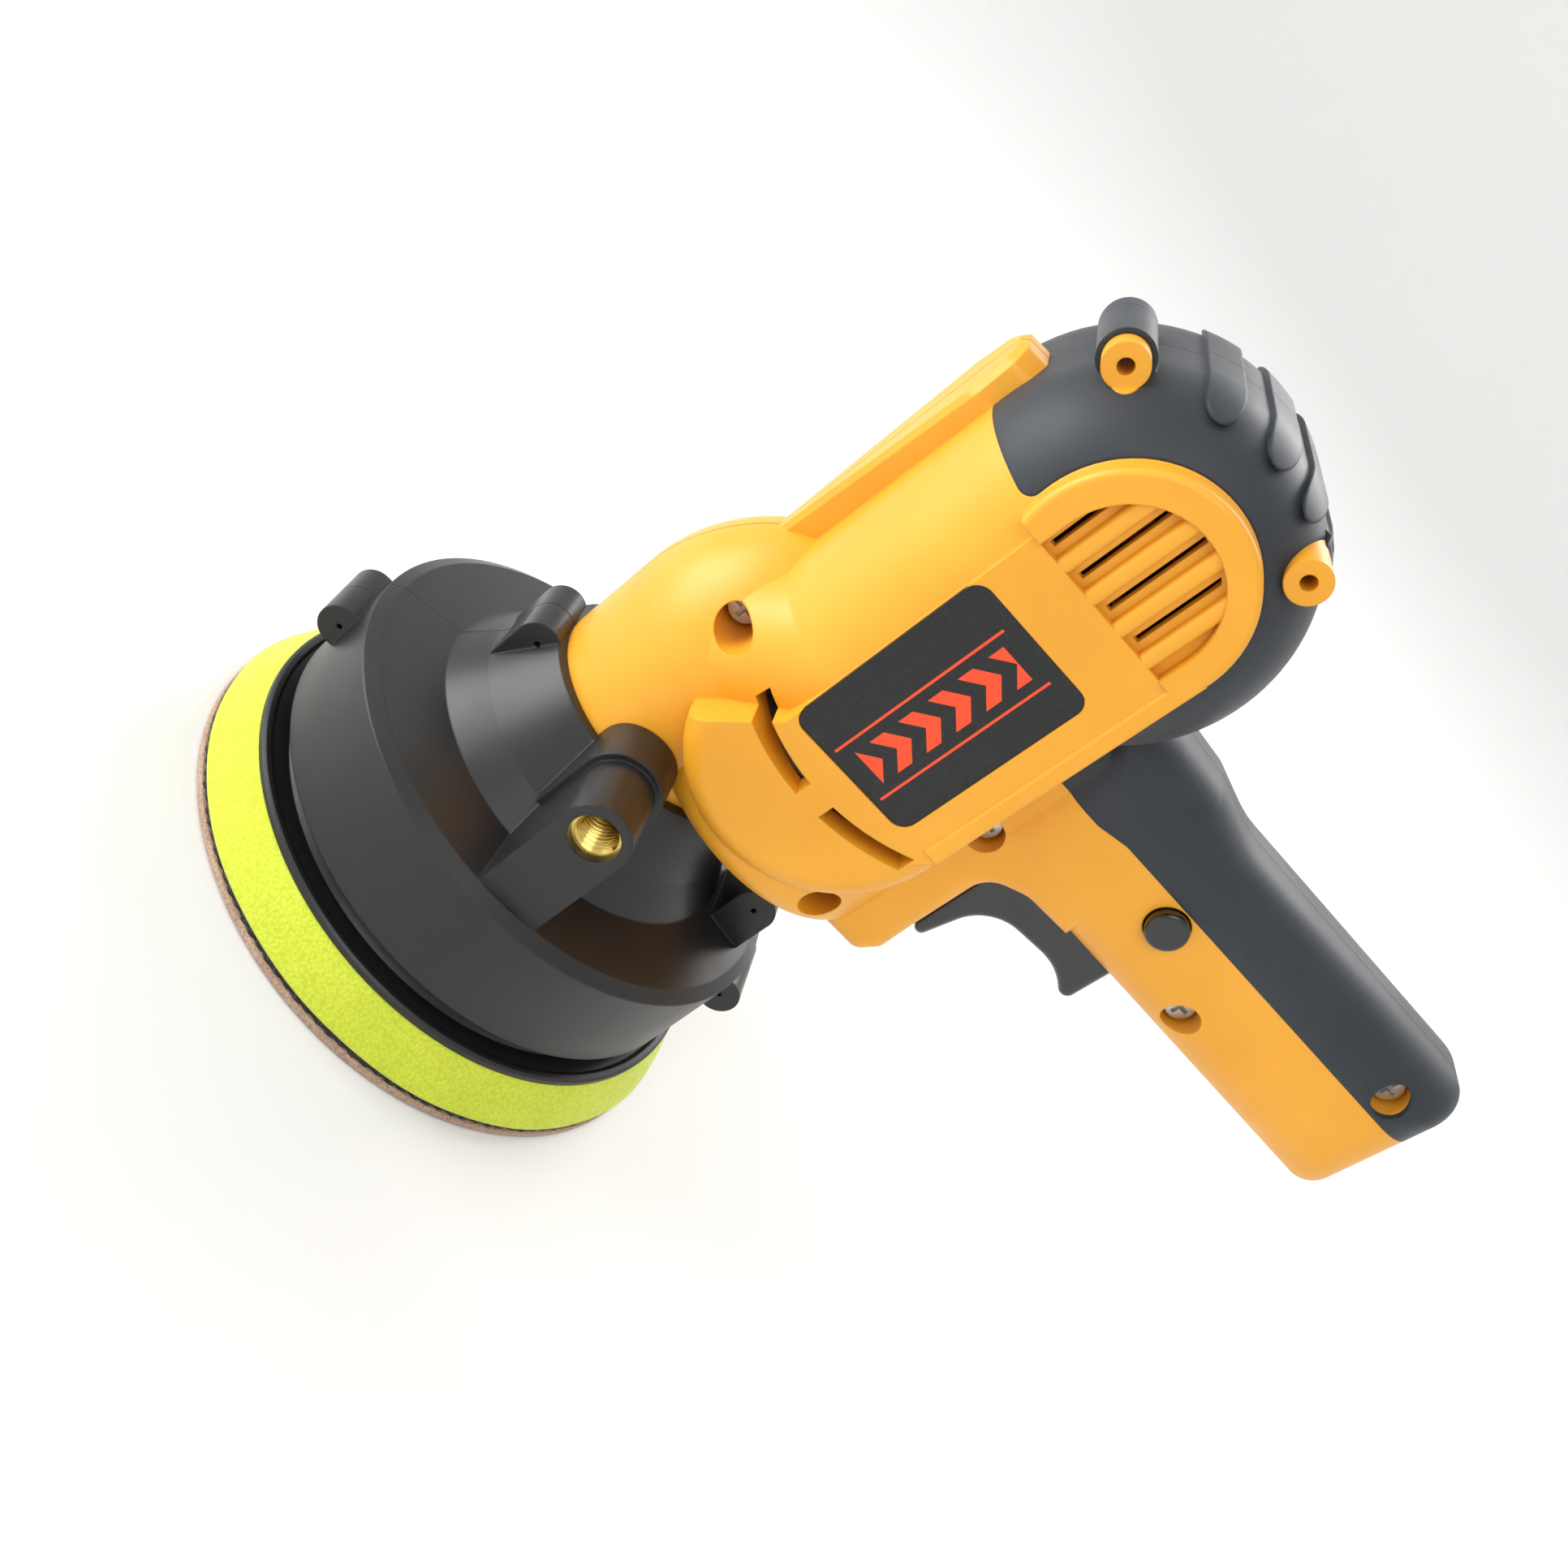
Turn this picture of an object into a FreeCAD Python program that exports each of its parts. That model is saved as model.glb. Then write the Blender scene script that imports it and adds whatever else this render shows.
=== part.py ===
import FreeCAD, Part
import math
import os
from FreeCAD import Vector

# Rotary polisher. Millimetres. The origin is the centre of the pad's working face. +Z is the spindle
# axis, from the pad towards the rear of the tool, and +X is the way the pistol grip points. The motor
# axis is parallel to the spindle. The clamshell halves part at y = 0: left is -Y, right is +Y.

# Pad stack, from the work upwards
PAD_R = 62.5
DISC_T = 1.8
HOOK_T = 1.2
FOAM_T = 10.8
FOAM_TAPER = 4.9
FOAM_BULGE = 0.5
HOOK_Z = DISC_T
FOAM_Z = HOOK_Z + HOOK_T
PLATE_Z = FOAM_Z + FOAM_T
PLATE_R = PAD_R - FOAM_TAPER - 0.1
PLATE_LIP = 1.7
PLATE_FLOOR = 1.2
PLATE_RIM_W = 6.0
PLATE_RISE = 4.2
HUB_R = 11.5
HUB_Z1 = 34.0
THREAD_R = 7.0
THREAD_Z0 = 19.0

# Bell over the pad
BELL_GAP = 6.4
BELL_Z0 = PLATE_Z + BELL_GAP
BELL_R = PAD_R - 7.7
BELL_H = 24.2
BELL_TAPER = 0.4
BELL_WALL = 2.4
BELL_CHAMFER = 2.7
BELL_STEP_R = 38.0
BELL_STEP_RISE = 2.6
BELL_CONE_R = 33.0
BELL_CONE_RISE = 9.6
NECK_R = 27.0
NECK_Z = 67.0
NECK_LIP = 0.8
SHOULDER_Z = BELL_Z0 + BELL_H

# Bell lugs: screw lugs lie on the parting plane, handle lugs stand out sideways
LUG_R = 4.7
LUG_HALF = 9.0
LUG_LOW_Z = 33.6
LUG_LOW_OUT = 0.5
LUG_TOP_BACK = (-27.2, 63.4)
LUG_TOP_FRONT = (44.0, 55.0)
HANDLE_Z = 69.0
HANDLE_REACH = 51.0
HANDLE_LUG_R = 7.1
HANDLE_COLLAR_R = 8.5
HANDLE_COLLAR_Y = 35.0
INSERT_R = 5.6
INSERT_BORE_R = 4.25
INSERT_L = 16.0
INSERT_DEPTH = 1.5
INSERT_MOUTH_R = 5.0

# Nose: the part of the housing that carries the gears
NOSE_R = 24.0
NOSE_TAIL_Z = 90.0
NOSE_END_Z = 121.0
COLLAR_R = 21.5
COLLAR_Z = 55.0
GROOVE_DEPTH = 2.1
GROOVE_Z = 59.0
GROOVE_W = 3.0
SEAT_GAP = 0.15

# Motor body
MOTOR_X = 24.0
BODY_HALF = 32.2
DOME_X = 27.2
DOME_Z = 162.0
DOME_R = 34.9
DOME_EDGE_R = 22.0
BLOCK_X1 = 47.5
BLOCK_LOW_R = 10.0
BLOCK_Z0 = 114.0
FRONT_Z0 = 89.0
FRONT_R = 22.3
BARREL_X = 27.0
BARREL_R = 31.0
BARREL_Z0 = 69.0
BARREL_FRONT_R = 6.0
CHEEK_X = 21.5
CHEEK_Z = 101.5
CHEEK_R = 27.5
CHEEK_EDGE_R = 5.0
PANEL_RISE = 0.8
PANEL_X0 = 8.8
BEAD_RISE = 0.7
BEAD_W = 3.6
WALL = 3.4

# Spine along the top of the motor body
SPINE_TOP_X = -13.7
SPINE_TILT = 0.03
SPINE_HALF = 10.0
SPINE_TIP_HALF = 2.6
SPINE_Z0 = 112.0
SPINE_Z1 = 172.5

# Grip
ROOT_HALF = 15.5
ROOT_EDGE_R = 4.0
GRIP_HALF = 16.5
GRIP_EDGE_R = 12.5
GRIP_X1 = 168.0
GRIP_Z0 = 104.5
GRIP_Z1 = 143.5
GRIP_END_WALL = 10.0
GRIP_WALL = 3.0
CABLE_R = 4.6
CHIN_X = 64.8
CHIN_Z = 68.3
ARCH_X = 64.5

# Rubber overmould
RUBBER_T = 1.5
RUBBER_Z = 164.5
RUBBER_LOW_Z = 127.5
RUBBER_GRIP_Z = 129.0
RIB_RISE = 1.0
RIB_R = 3.5
RIB_INWARD = 3.0
RIB_ANGLES = (113.0, 92.0, 74.0, 55.0)

# Rear vent
VENT_X = 26.0
VENT_Z = 165.0
VENT_R = 15.8
VENT_RING_R = BLOCK_X1 - VENT_X
VENT_BORDER_GAP = 0.2
VENT_FRONT_Z = 159.5
VENT_DEPTH = 2.4
VENT_PITCH = 7.35
VENT_SLOT_X = 12.2
VENT_SLOT_W = 1.2
VENT_BAR_W = 3.2

# Front vent slots: two pieces of one arc, each from one x to the next
SLOT_ARC = (24.0, 144.7, 48.3)
SLOT_W = 3.6
FRONT_SLOTS = ((3.4, 20.9), (27.0, 44.4))

# Label
LABEL_X = (8.9, 38.6)
LABEL_Z = (104.8, 147.9)
LABEL_CORNER_R = 3.2
LABEL_T = 0.8
LABEL_SUNK = 0.25
LABEL_GAP = 0.1

# Screws, x and z of each. The rear ones enter from the right, with the boss's reach to left and to right.
SCREWS_LEFT = ((-7.6, 102.5), (55.4, 108.6), (44.1, 77.6), (112.0, 112.5), (152.0, 134.0))
SCREWS_REAR = ((-1.0, 185.0, 19.0, 4.6), (43.9, 187.6, 28.5, 28.5))
SCREW_R = 1.9
SCREW_HEAD_R = 3.2
SCREW_HEAD_T = 2.4
SCREW_REACH = 9.0
RECESS_R = 4.0
BOSS_R = 4.9
REAR_BOSS_R = 4.1
REAR_HOOD_R = 5.1
REAR_HOOD_REACH = 14.5
PILOT_R = 1.5

# Spindle and gears
SPINDLE_R = 6.0
SPINDLE_TAIL_R = 4.0
COLLAR_TOP_Z = 39.0
SPINDLE_COLLAR_R = 10.5
SPINDLE_FLAT = 8.5
FRONT_BEARING = (14.0, 6.0, 8.0)
TAIL_BEARING = (11.0, 4.0, 7.0)
REAR_BEARING = (9.5, 3.0, 6.0)
FRONT_BEARING_Z = 57.0
BRIDGE_BEARING_Z = 84.5
REAR_BEARING_Z = 176.0
RUN_GAP = 0.03
MODULE = 1.0
PRESSURE = 25.0
GEAR_TEETH = 36
PINION_TEETH = 12
BACKLASH = 0.12
GEAR_Z = 72.5
GEAR_W = 8.0
GEAR_CHAMBER_GAP = 1.6

# Motor
SHAFT_R = 5.0
FAN_R = 25.5
FAN_Z = 94.0
FAN_H = 9.0
FAN_BLADES = 22
FAN_CHAMBER_R = 27.5
CORE_R = 16.2
CORE_Z = 114.0
CORE_L = 34.0
CORE_SLOTS = 12
AIR_GAP = 0.6
STATOR_R = 26.4
COIL_REACH = 4.0
COMM_R = 11.0
COMM_Z = 156.0
COMM_L = 15.0
COMM_BARS = 24
BRUSH_W = 6.0
BRUSH_H = 8.0
BRUSH_L = 10.0
BRUSH_GAP = 0.3
BRUSH_TUBE_WALL = 0.9
BRUSH_TUBE_L = 14.5

# Trigger, switch and lock button
TRIGGER_HALF = 8.2
TRIGGER_TRAVEL = 6.0
TRIGGER_GAP = 0.6
TRIGGER_X = (66.0, 100.0)
TRIGGER_TIP_Z = 76.8
TRIGGER_BACK_Z = 112.0
SWITCH_X = (72.0, 104.0)
SWITCH_Z = (119.0, 138.0)
SWITCH_HALF = 10.0
STEM_R = 2.5
STEM_X = 86.0
LOCK_X = 92.0
LOCK_Z = 124.0
LOCK_R = 4.4
LOCK_OUT = 2.4
LOCK_TRAVEL = 2.0


# ---- building blocks ----

def cyl(radius, z0, z1, x=0.0):
    return Part.makeCylinder(radius, z1 - z0, Vector(x, 0, z0))


def pipe(r_out, r_in, z0, z1, x=0.0):
    return cyl(r_out, z0, z1, x).cut(cyl(r_in, z0, z1, x))


def cross(radius, x, z, y0, y1):
    return Part.makeCylinder(radius, y1 - y0, Vector(x, y0, z), Vector(0, 1, 0))


def block(x0, x1, y0, y1, z0, z1):
    return Part.makeBox(x1 - x0, y1 - y0, z1 - z0, Vector(x0, y0, z0))


def fuse(first, *rest):
    """Union of solids, as one plain solid where it is in one piece."""
    joined = first.multiFuse(list(rest)).removeSplitter()
    return joined.Solids[0] if len(joined.Solids) == 1 else joined


def side_plane(u, v):
    return Vector(u, 0, v)


def outline(corners, place=side_plane):
    """Closed wire through corners (u, v, radius), each corner rounded by a tangent arc."""
    count = len(corners)
    points = [Vector(u, v, 0) for u, v, radius in corners]
    edges = []
    joints = []
    for i, (u, v, radius) in enumerate(corners):
        to_prev = (points[i - 1] - points[i]).normalize()
        to_next = (points[(i + 1) % count] - points[i]).normalize()
        half = to_prev.getAngle(to_next) / 2
        if half > math.pi / 2 - 1e-4:
            radius = 0.0
        reach = radius / math.tan(half)
        bisector = (to_prev + to_next).normalize() if radius else Vector()
        middle = points[i] + bisector * (radius / math.sin(half) - radius)
        joints.append((points[i] + to_prev * reach, middle, points[i] + to_next * reach, radius))
    for i, (start, middle, end, radius) in enumerate(joints):
        if radius:
            edges.append(Part.Arc(*[place(p.x, p.y) for p in (start, middle, end)]).toShape())
        following = joints[(i + 1) % count][0]
        if (following - end).Length > 1e-6:
            edges.append(Part.LineSegment(place(end.x, end.y), place(following.x, following.y)).toShape())
    return Part.Wire(edges)


def slab(corners, half_width, inset=0.0, edge_r=0.0):
    """Side outline made solid across the parting plane, its two rims rounded."""
    face = Part.Face(outline(corners))
    if inset:
        face = face.makeOffset2D(-inset)
    face.translate(Vector(0, -half_width, 0))
    solid = face.extrude(Vector(0, 2 * half_width, 0))
    solid = solid if solid.ShapeType == "Solid" else solid.Solids[0]
    if edge_r:
        solid = solid.makeFillet(edge_r, rim_edges(solid, half_width))
    return solid


def rim_edges(solid, half_width):
    return [e for e in solid.Edges if abs(abs(e.CenterOfMass.y) - half_width) < 1e-4]


def round_disc(x, z, radius, half_width, edge_r):
    disc = cross(radius, x, z, -half_width, half_width)
    return disc.makeFillet(edge_r, rim_edges(disc, half_width))


def lathe(profile, x=0.0):
    """Solid of revolution about a Z axis; profile is (r, z) corners, with an optional arc middle."""
    edges = []
    for i, point in enumerate(profile):
        following = profile[(i + 1) % len(profile)]
        a = Vector(x + point[0], 0, point[1])
        b = Vector(x + following[0], 0, following[1])
        if len(point) == 4:
            edges.append(Part.Arc(a, Vector(x + point[2], 0, point[3]), b).toShape())
        else:
            edges.append(Part.LineSegment(a, b).toShape())
    face = Part.Face(Part.Wire(edges))
    return face.revolve(Vector(x, 0, 0), Vector(0, 0, 1), 360)


def halves(solid):
    """The left (-Y) and right (+Y) parts of a solid split on the parting plane."""
    left = solid.common(block(-300, 300, -300, 0, -300, 300))
    right = solid.common(block(-300, 300, 0, 300, -300, 300))
    return left, right


def both_sides(solid):
    """A solid on the left side together with its mirror image on the right."""
    return fuse(solid, solid.mirror(Vector(), Vector(0, 1, 0)))


def coil(radius, wire_r, height, turns, base, axis):
    """Closed helical spring as one solid."""
    helix = Part.makeHelix((height - 2 * wire_r) / turns, height - 2 * wire_r, radius)
    section = Part.Wire(Part.Circle(Vector(radius, 0, 0), Vector(0, 1, 0), wire_r).toShape())
    spring = Part.Wire(helix).makePipeShell([section], True, True)
    spring.Placement = FreeCAD.Placement(base + axis * wire_r, FreeCAD.Rotation(Vector(0, 0, 1), axis))
    return spring


# ---- pad ----

def abrasive_disc():
    return cyl(PAD_R, 0, DISC_T)


def hook_layer():
    return cyl(PAD_R - 0.2, HOOK_Z, HOOK_Z + HOOK_T)


def foam_pad():
    top_r = PAD_R - FOAM_TAPER
    mid_r = (PAD_R + top_r) / 2 + FOAM_BULGE
    mid_z = FOAM_Z + FOAM_T / 2
    return lathe([(0, FOAM_Z), (PAD_R, FOAM_Z, mid_r, mid_z), (top_r, PLATE_Z), (0, PLATE_Z)])


def backing_plate():
    floor_z = PLATE_Z + PLATE_FLOOR
    rise_z = PLATE_Z + PLATE_RISE
    inner_r = PLATE_R - PLATE_RIM_W
    profile = [(0, PLATE_Z), (PLATE_R, PLATE_Z), (PLATE_R, PLATE_Z + PLATE_LIP * 0.7),
               (PLATE_R - 0.6, PLATE_Z + PLATE_LIP), (PLATE_R - 1.6, PLATE_Z + PLATE_LIP),
               (PLATE_R - 2.4, floor_z), (inner_r, floor_z), (inner_r - 3.0, rise_z),
               (HUB_R + 4.0, rise_z + 0.8), (HUB_R, rise_z + 3.0), (HUB_R, HUB_Z1),
               (THREAD_R, HUB_Z1), (THREAD_R, THREAD_Z0), (0, THREAD_Z0)]
    return lathe(profile)


# ---- spindle and gears ----

def involute(angle):
    return math.tan(angle) - angle


def spur_gear(teeth, x, z0, z1, bore_r, turn):
    """Spur gear with involute flanks; a tooth's middle lies at the angle turn."""
    pressure = math.radians(PRESSURE)
    pitch_r = MODULE * teeth / 2
    base_r = pitch_r * math.cos(pressure)
    tip_r = pitch_r + 0.9 * MODULE
    root_r = pitch_r - 1.2 * MODULE
    half_tooth = (math.pi / 2 - BACKLASH / MODULE) / teeth
    flank = []
    low_r = max(base_r, root_r)
    for step in range(5):
        r = low_r + (tip_r - low_r) * step / 4
        flank.append((r, half_tooth + involute(pressure) - involute(math.acos(min(1.0, base_r / r)))))
    root_half = flank[0][1] + (0.04 if root_r < base_r else 0.01)
    one_tooth = [(root_r, -root_half)] + [(r, -a) for r, a in flank] + [(r, a) for r, a in flank[::-1]]
    one_tooth.append((root_r, root_half))
    points = []
    for k in range(teeth):
        middle = math.radians(turn) + 2 * math.pi * k / teeth
        points += [Vector(x + r * math.cos(middle + a), r * math.sin(middle + a), z0) for r, a in one_tooth]
    face = Part.Face(Part.makePolygon(points + points[:1]))
    return face.extrude(Vector(0, 0, z1 - z0)).cut(cyl(bore_r, z0, z1, x))


def spindle():
    body = fuse(cyl(THREAD_R, THREAD_Z0, HUB_Z1), cyl(SPINDLE_COLLAR_R, HUB_Z1, COLLAR_TOP_Z),
                cyl(SPINDLE_R, COLLAR_TOP_Z, GEAR_Z + GEAR_W),
                cyl(SPINDLE_TAIL_R, GEAR_Z + GEAR_W, BRIDGE_BEARING_Z + TAIL_BEARING[2] + 1.0),
                cyl(SPINDLE_R + 2.0, GEAR_Z - 3.0, GEAR_Z))
    flats = both_sides(block(-20, 20, -20, -SPINDLE_FLAT, HUB_Z1, COLLAR_TOP_Z))
    groove = pipe(SPINDLE_R + 1, SPINDLE_R - 0.5, FRONT_BEARING_Z - 1.1, FRONT_BEARING_Z)
    return body.cut(flats).cut(groove)


def spindle_circlip():
    ring = pipe(SPINDLE_R + 1.6, SPINDLE_R - 0.5, FRONT_BEARING_Z - 1.1, FRONT_BEARING_Z - 0.1)
    return ring.cut(block(0, 20, -1.5, 1.5, FRONT_BEARING_Z - 2, FRONT_BEARING_Z + 1))


def ball_bearing(size, z0, x):
    """Shielded ball bearing: one ring-shaped solid with a recess at each side for its shields."""
    r_out, r_bore, width = size
    mid_r = (r_out + r_bore) / 2
    ring = pipe(r_out, r_bore + RUN_GAP, z0, z0 + width, x)
    recess = pipe(mid_r + 1.4, mid_r - 1.4, 0, 0.5, x)
    low = recess.translated(Vector(0, 0, z0))
    high = recess.translated(Vector(0, 0, z0 + width - 0.5))
    return ring.cut(low).cut(high)


# ---- motor ----

def armature_shaft():
    bridge_z1 = BRIDGE_BEARING_Z + TAIL_BEARING[2]
    return fuse(cyl(3.0, GEAR_Z - 0.5, BRIDGE_BEARING_Z - 1.0, MOTOR_X),
                cyl(TAIL_BEARING[1], BRIDGE_BEARING_Z - 1.0, bridge_z1 + 1.0, MOTOR_X),
                cyl(SHAFT_R, bridge_z1 + 1.0, REAR_BEARING_Z - 1.0, MOTOR_X),
                cyl(REAR_BEARING[1], REAR_BEARING_Z - 1.0, REAR_BEARING_Z + REAR_BEARING[2] + 1.0, MOTOR_X))


def around_motor(solid, count, index):
    return solid.rotated(Vector(MOTOR_X, 0, 0), Vector(0, 0, 1), 360.0 * index / count)


def cooling_fan():
    disc = cyl(FAN_R, FAN_Z, FAN_Z + 1.6, MOTOR_X)
    hub = cyl(SHAFT_R + 4.0, FAN_Z, FAN_Z + FAN_H, MOTOR_X)
    blade = block(MOTOR_X + 13.0, MOTOR_X + FAN_R - 0.4, -0.6, 0.6, FAN_Z, FAN_Z + FAN_H)
    blade = blade.rotated(Vector(MOTOR_X + 13.0, 0, 0), Vector(0, 0, 1), 18.0)
    blade = blade.common(cyl(FAN_R, FAN_Z, FAN_Z + FAN_H, MOTOR_X))
    blades = [around_motor(blade, FAN_BLADES, k) for k in range(FAN_BLADES)]
    return fuse(disc, hub, *blades).cut(cyl(SHAFT_R, FAN_Z, FAN_Z + FAN_H, MOTOR_X))


def core_slots(depth_gap):
    """The bars of space that the armature's windings fill."""
    bar = block(MOTOR_X + 9.5, MOTOR_X + CORE_R - depth_gap, -1.6, 1.6, CORE_Z, CORE_Z + CORE_L)
    return [around_motor(bar, CORE_SLOTS, k) for k in range(CORE_SLOTS)]


def armature_core():
    core = pipe(CORE_R, SHAFT_R, CORE_Z, CORE_Z + CORE_L, MOTOR_X)
    return core.cut(core_slots(-1.0)[0].multiFuse(core_slots(-1.0)[1:]))


def armature_windings():
    def end(z_core, z_far):
        z_mid = (z_core + z_far) / 2
        rim = (CORE_R - 1.0, z_core, CORE_R - 0.6, z_mid)
        return lathe([(SHAFT_R, z_core), rim, (CORE_R - 3.0, z_far), (SHAFT_R, z_far)], MOTOR_X)
    front = end(CORE_Z, CORE_Z - 5.5)
    rear = end(CORE_Z + CORE_L, CORE_Z + CORE_L + 5.5)
    return fuse(front, rear, *core_slots(1.0))


def commutator():
    drum = pipe(COMM_R, SHAFT_R, COMM_Z, COMM_Z + COMM_L, MOTOR_X)
    slot = block(MOTOR_X + COMM_R - 1.0, MOTOR_X + COMM_R + 1.0, -0.3, 0.3, COMM_Z, COMM_Z + COMM_L)
    slots = [around_motor(slot, COMM_BARS, k) for k in range(COMM_BARS)]
    return drum.cut(slots[0].multiFuse(slots[1:]))


def sector(r_in, r_out, half_angle, z0, z1, middle):
    """Ring sector about the motor axis, middle being its angle from +X."""
    ring = Part.makeCylinder(r_out, z1 - z0, Vector(MOTOR_X, 0, z0), Vector(0, 0, 1), 2 * half_angle)
    ring = ring.rotated(Vector(MOTOR_X, 0, 0), Vector(0, 0, 1), middle - half_angle)
    return ring.cut(cyl(r_in, z0, z1, MOTOR_X))


def stator_core():
    bore_r = CORE_R + AIR_GAP
    stack = pipe(STATOR_R, bore_r, CORE_Z, CORE_Z + CORE_L, MOTOR_X)
    for middle in (90, 270):
        stack = stack.cut(sector(bore_r - 1, bore_r + 5.0, 42, CORE_Z, CORE_Z + CORE_L, middle))
    return stack


def field_coils():
    r_in = CORE_R + AIR_GAP + 0.4
    r_out = CORE_R + AIR_GAP + 4.6
    solids = []
    for middle in (0, 180):
        loop = sector(r_in, r_out, 86, CORE_Z - COIL_REACH, CORE_Z + CORE_L + COIL_REACH, middle)
        solids.append(loop.cut(sector(r_in - 1, r_out + 1, 49, CORE_Z, CORE_Z + CORE_L, middle)))
    return Part.makeCompound(solids)


def brush_z():
    return COMM_Z + 2.0


def brush_box(x0, x1, grow, mirrored):
    """Box around the brush line, from x0 to x1 out from the motor axis, on one side of it."""
    z0 = brush_z() - grow
    z1 = brush_z() + BRUSH_H + grow
    half = BRUSH_W / 2 + grow
    if mirrored:
        return block(MOTOR_X - x1, MOTOR_X - x0, -half, half, z0, z1)
    return block(MOTOR_X + x0, MOTOR_X + x1, -half, half, z0, z1)


def brush_holders():
    tube_x0 = COMM_R + 1.6
    tube_x1 = tube_x0 + BRUSH_TUBE_L
    solids = []
    for mirrored in (False, True):
        tube = brush_box(tube_x0, tube_x1, BRUSH_TUBE_WALL, mirrored)
        inner = brush_box(tube_x0 - 1, tube_x1 - BRUSH_TUBE_WALL, 0.05, mirrored)
        solids.append(tube.cut(inner))
    return Part.makeCompound(solids)


def carbon_brushes():
    x0 = COMM_R + BRUSH_GAP
    return Part.makeCompound([brush_box(x0, x0 + BRUSH_L, 0.0, mirrored) for mirrored in (False, True)])


def brush_springs():
    x0 = COMM_R + BRUSH_GAP + BRUSH_L
    length = COMM_R + 1.6 + BRUSH_TUBE_L - BRUSH_TUBE_WALL - x0
    z = brush_z() + BRUSH_H / 2
    springs = []
    for sign in (1, -1):
        base = Vector(MOTOR_X + sign * x0, 0, z)
        springs.append(coil(2.2, 0.3, length, 5, base, Vector(sign, 0, 0)))
    return Part.makeCompound(springs)


# ---- bell ----

def bell_outer():
    step_z = SHOULDER_Z + BELL_STEP_RISE
    cone_z = SHOULDER_Z + BELL_CONE_RISE
    edge_r = BELL_R - BELL_TAPER
    return lathe([(0, BELL_Z0), (BELL_R, BELL_Z0), (edge_r, SHOULDER_Z - 1.2),
                  (edge_r - BELL_CHAMFER, SHOULDER_Z + 0.7), (BELL_STEP_R, step_z), (BELL_CONE_R, cone_z),
                  (NECK_R, NECK_Z - 1.5), (NECK_R - NECK_LIP, NECK_Z), (0, NECK_Z)])


def bell_inner():
    floor_z = SHOULDER_Z - BELL_WALL
    cone_z = SHOULDER_Z + BELL_CONE_RISE - BELL_WALL
    inner_r = BELL_R - BELL_TAPER - BELL_WALL
    bore_r = COLLAR_R + SEAT_GAP
    rib_r = COLLAR_R - GROOVE_DEPTH + SEAT_GAP
    return lathe([(0, BELL_Z0), (BELL_R - BELL_WALL, BELL_Z0), (inner_r, floor_z),
                  (BELL_STEP_R - BELL_WALL, floor_z + BELL_STEP_RISE), (BELL_CONE_R - BELL_WALL, cone_z),
                  (bore_r, cone_z + 1.0), (bore_r, GROOVE_Z), (rib_r, GROOVE_Z),
                  (rib_r, GROOVE_Z + GROOVE_W), (bore_r, GROOVE_Z + GROOVE_W), (bore_r, NECK_Z), (0, NECK_Z)])


def low_lugs():
    lugs = []
    for sign in (1, -1):
        x = sign * (BELL_R + LUG_LOW_OUT)
        inner_x = sign * (BELL_R - 4)
        web = block(min(x, inner_x), max(x, inner_x), -LUG_HALF, LUG_HALF,
                    LUG_LOW_Z - LUG_R, LUG_LOW_Z + LUG_R)
        lugs.append(fuse(cross(LUG_R, x, LUG_LOW_Z, -LUG_HALF, LUG_HALF), web))
    return lugs


def high_lugs():
    lugs = []
    for x, z in (LUG_TOP_BACK, LUG_TOP_FRONT):
        foot = block(x - LUG_R, x + LUG_R, -LUG_HALF, LUG_HALF, SHOULDER_Z, z)
        lugs.append(fuse(cross(LUG_R, x, z, -LUG_HALF, LUG_HALF), foot))
    return lugs


def handle_lug():
    """One side-handle lug on the left: a round head on a straight-sided foot."""
    head = cross(HANDLE_LUG_R, 0, HANDLE_Z, -HANDLE_REACH, -NOSE_R)
    foot = block(-HANDLE_LUG_R, HANDLE_LUG_R, -HANDLE_REACH, -BELL_CONE_R + 6, SHOULDER_Z - 1, HANDLE_Z)
    collar = cross(HANDLE_COLLAR_R, 0, HANDLE_Z, -HANDLE_COLLAR_Y, -NOSE_R + 3)
    collar_foot = block(-HANDLE_COLLAR_R, HANDLE_COLLAR_R, -HANDLE_COLLAR_Y, -NOSE_R + 3,
                        NECK_Z - 12, HANDLE_Z)
    return fuse(head, foot, collar, collar_foot)


def bell_shells():
    lug = both_sides_list(handle_lug())
    shell = fuse(bell_outer(), *low_lugs(), *high_lugs(), *lug)
    hollow = fuse(bell_inner(), cyl(NOSE_R + 2 * SEAT_GAP, NECK_Z, NECK_Z + 60),
                  cyl(BELL_R - BELL_WALL, BELL_Z0 - 1, BELL_Z0), round_barrel(-2 * SEAT_GAP))
    shell = shell.cut(hollow)
    mouth = cross(INSERT_MOUTH_R, 0, HANDLE_Z, -HANDLE_REACH, HANDLE_REACH)
    seat_y = HANDLE_REACH - INSERT_DEPTH
    seats = [cross(INSERT_R, 0, HANDLE_Z, *span)
             for span in ((-seat_y, -seat_y + INSERT_L), (seat_y - INSERT_L, seat_y))]
    shell = shell.cut(mouth).cut(seats[0]).cut(seats[1]).cut(bell_screw_holes())
    return halves(shell)


def both_sides_list(solid):
    return [solid, solid.mirror(Vector(), Vector(0, 1, 0))]


def bell_screw_places():
    out = BELL_R + LUG_LOW_OUT
    return [(-out, LUG_LOW_Z), (out, LUG_LOW_Z), LUG_TOP_BACK, LUG_TOP_FRONT]


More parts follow.
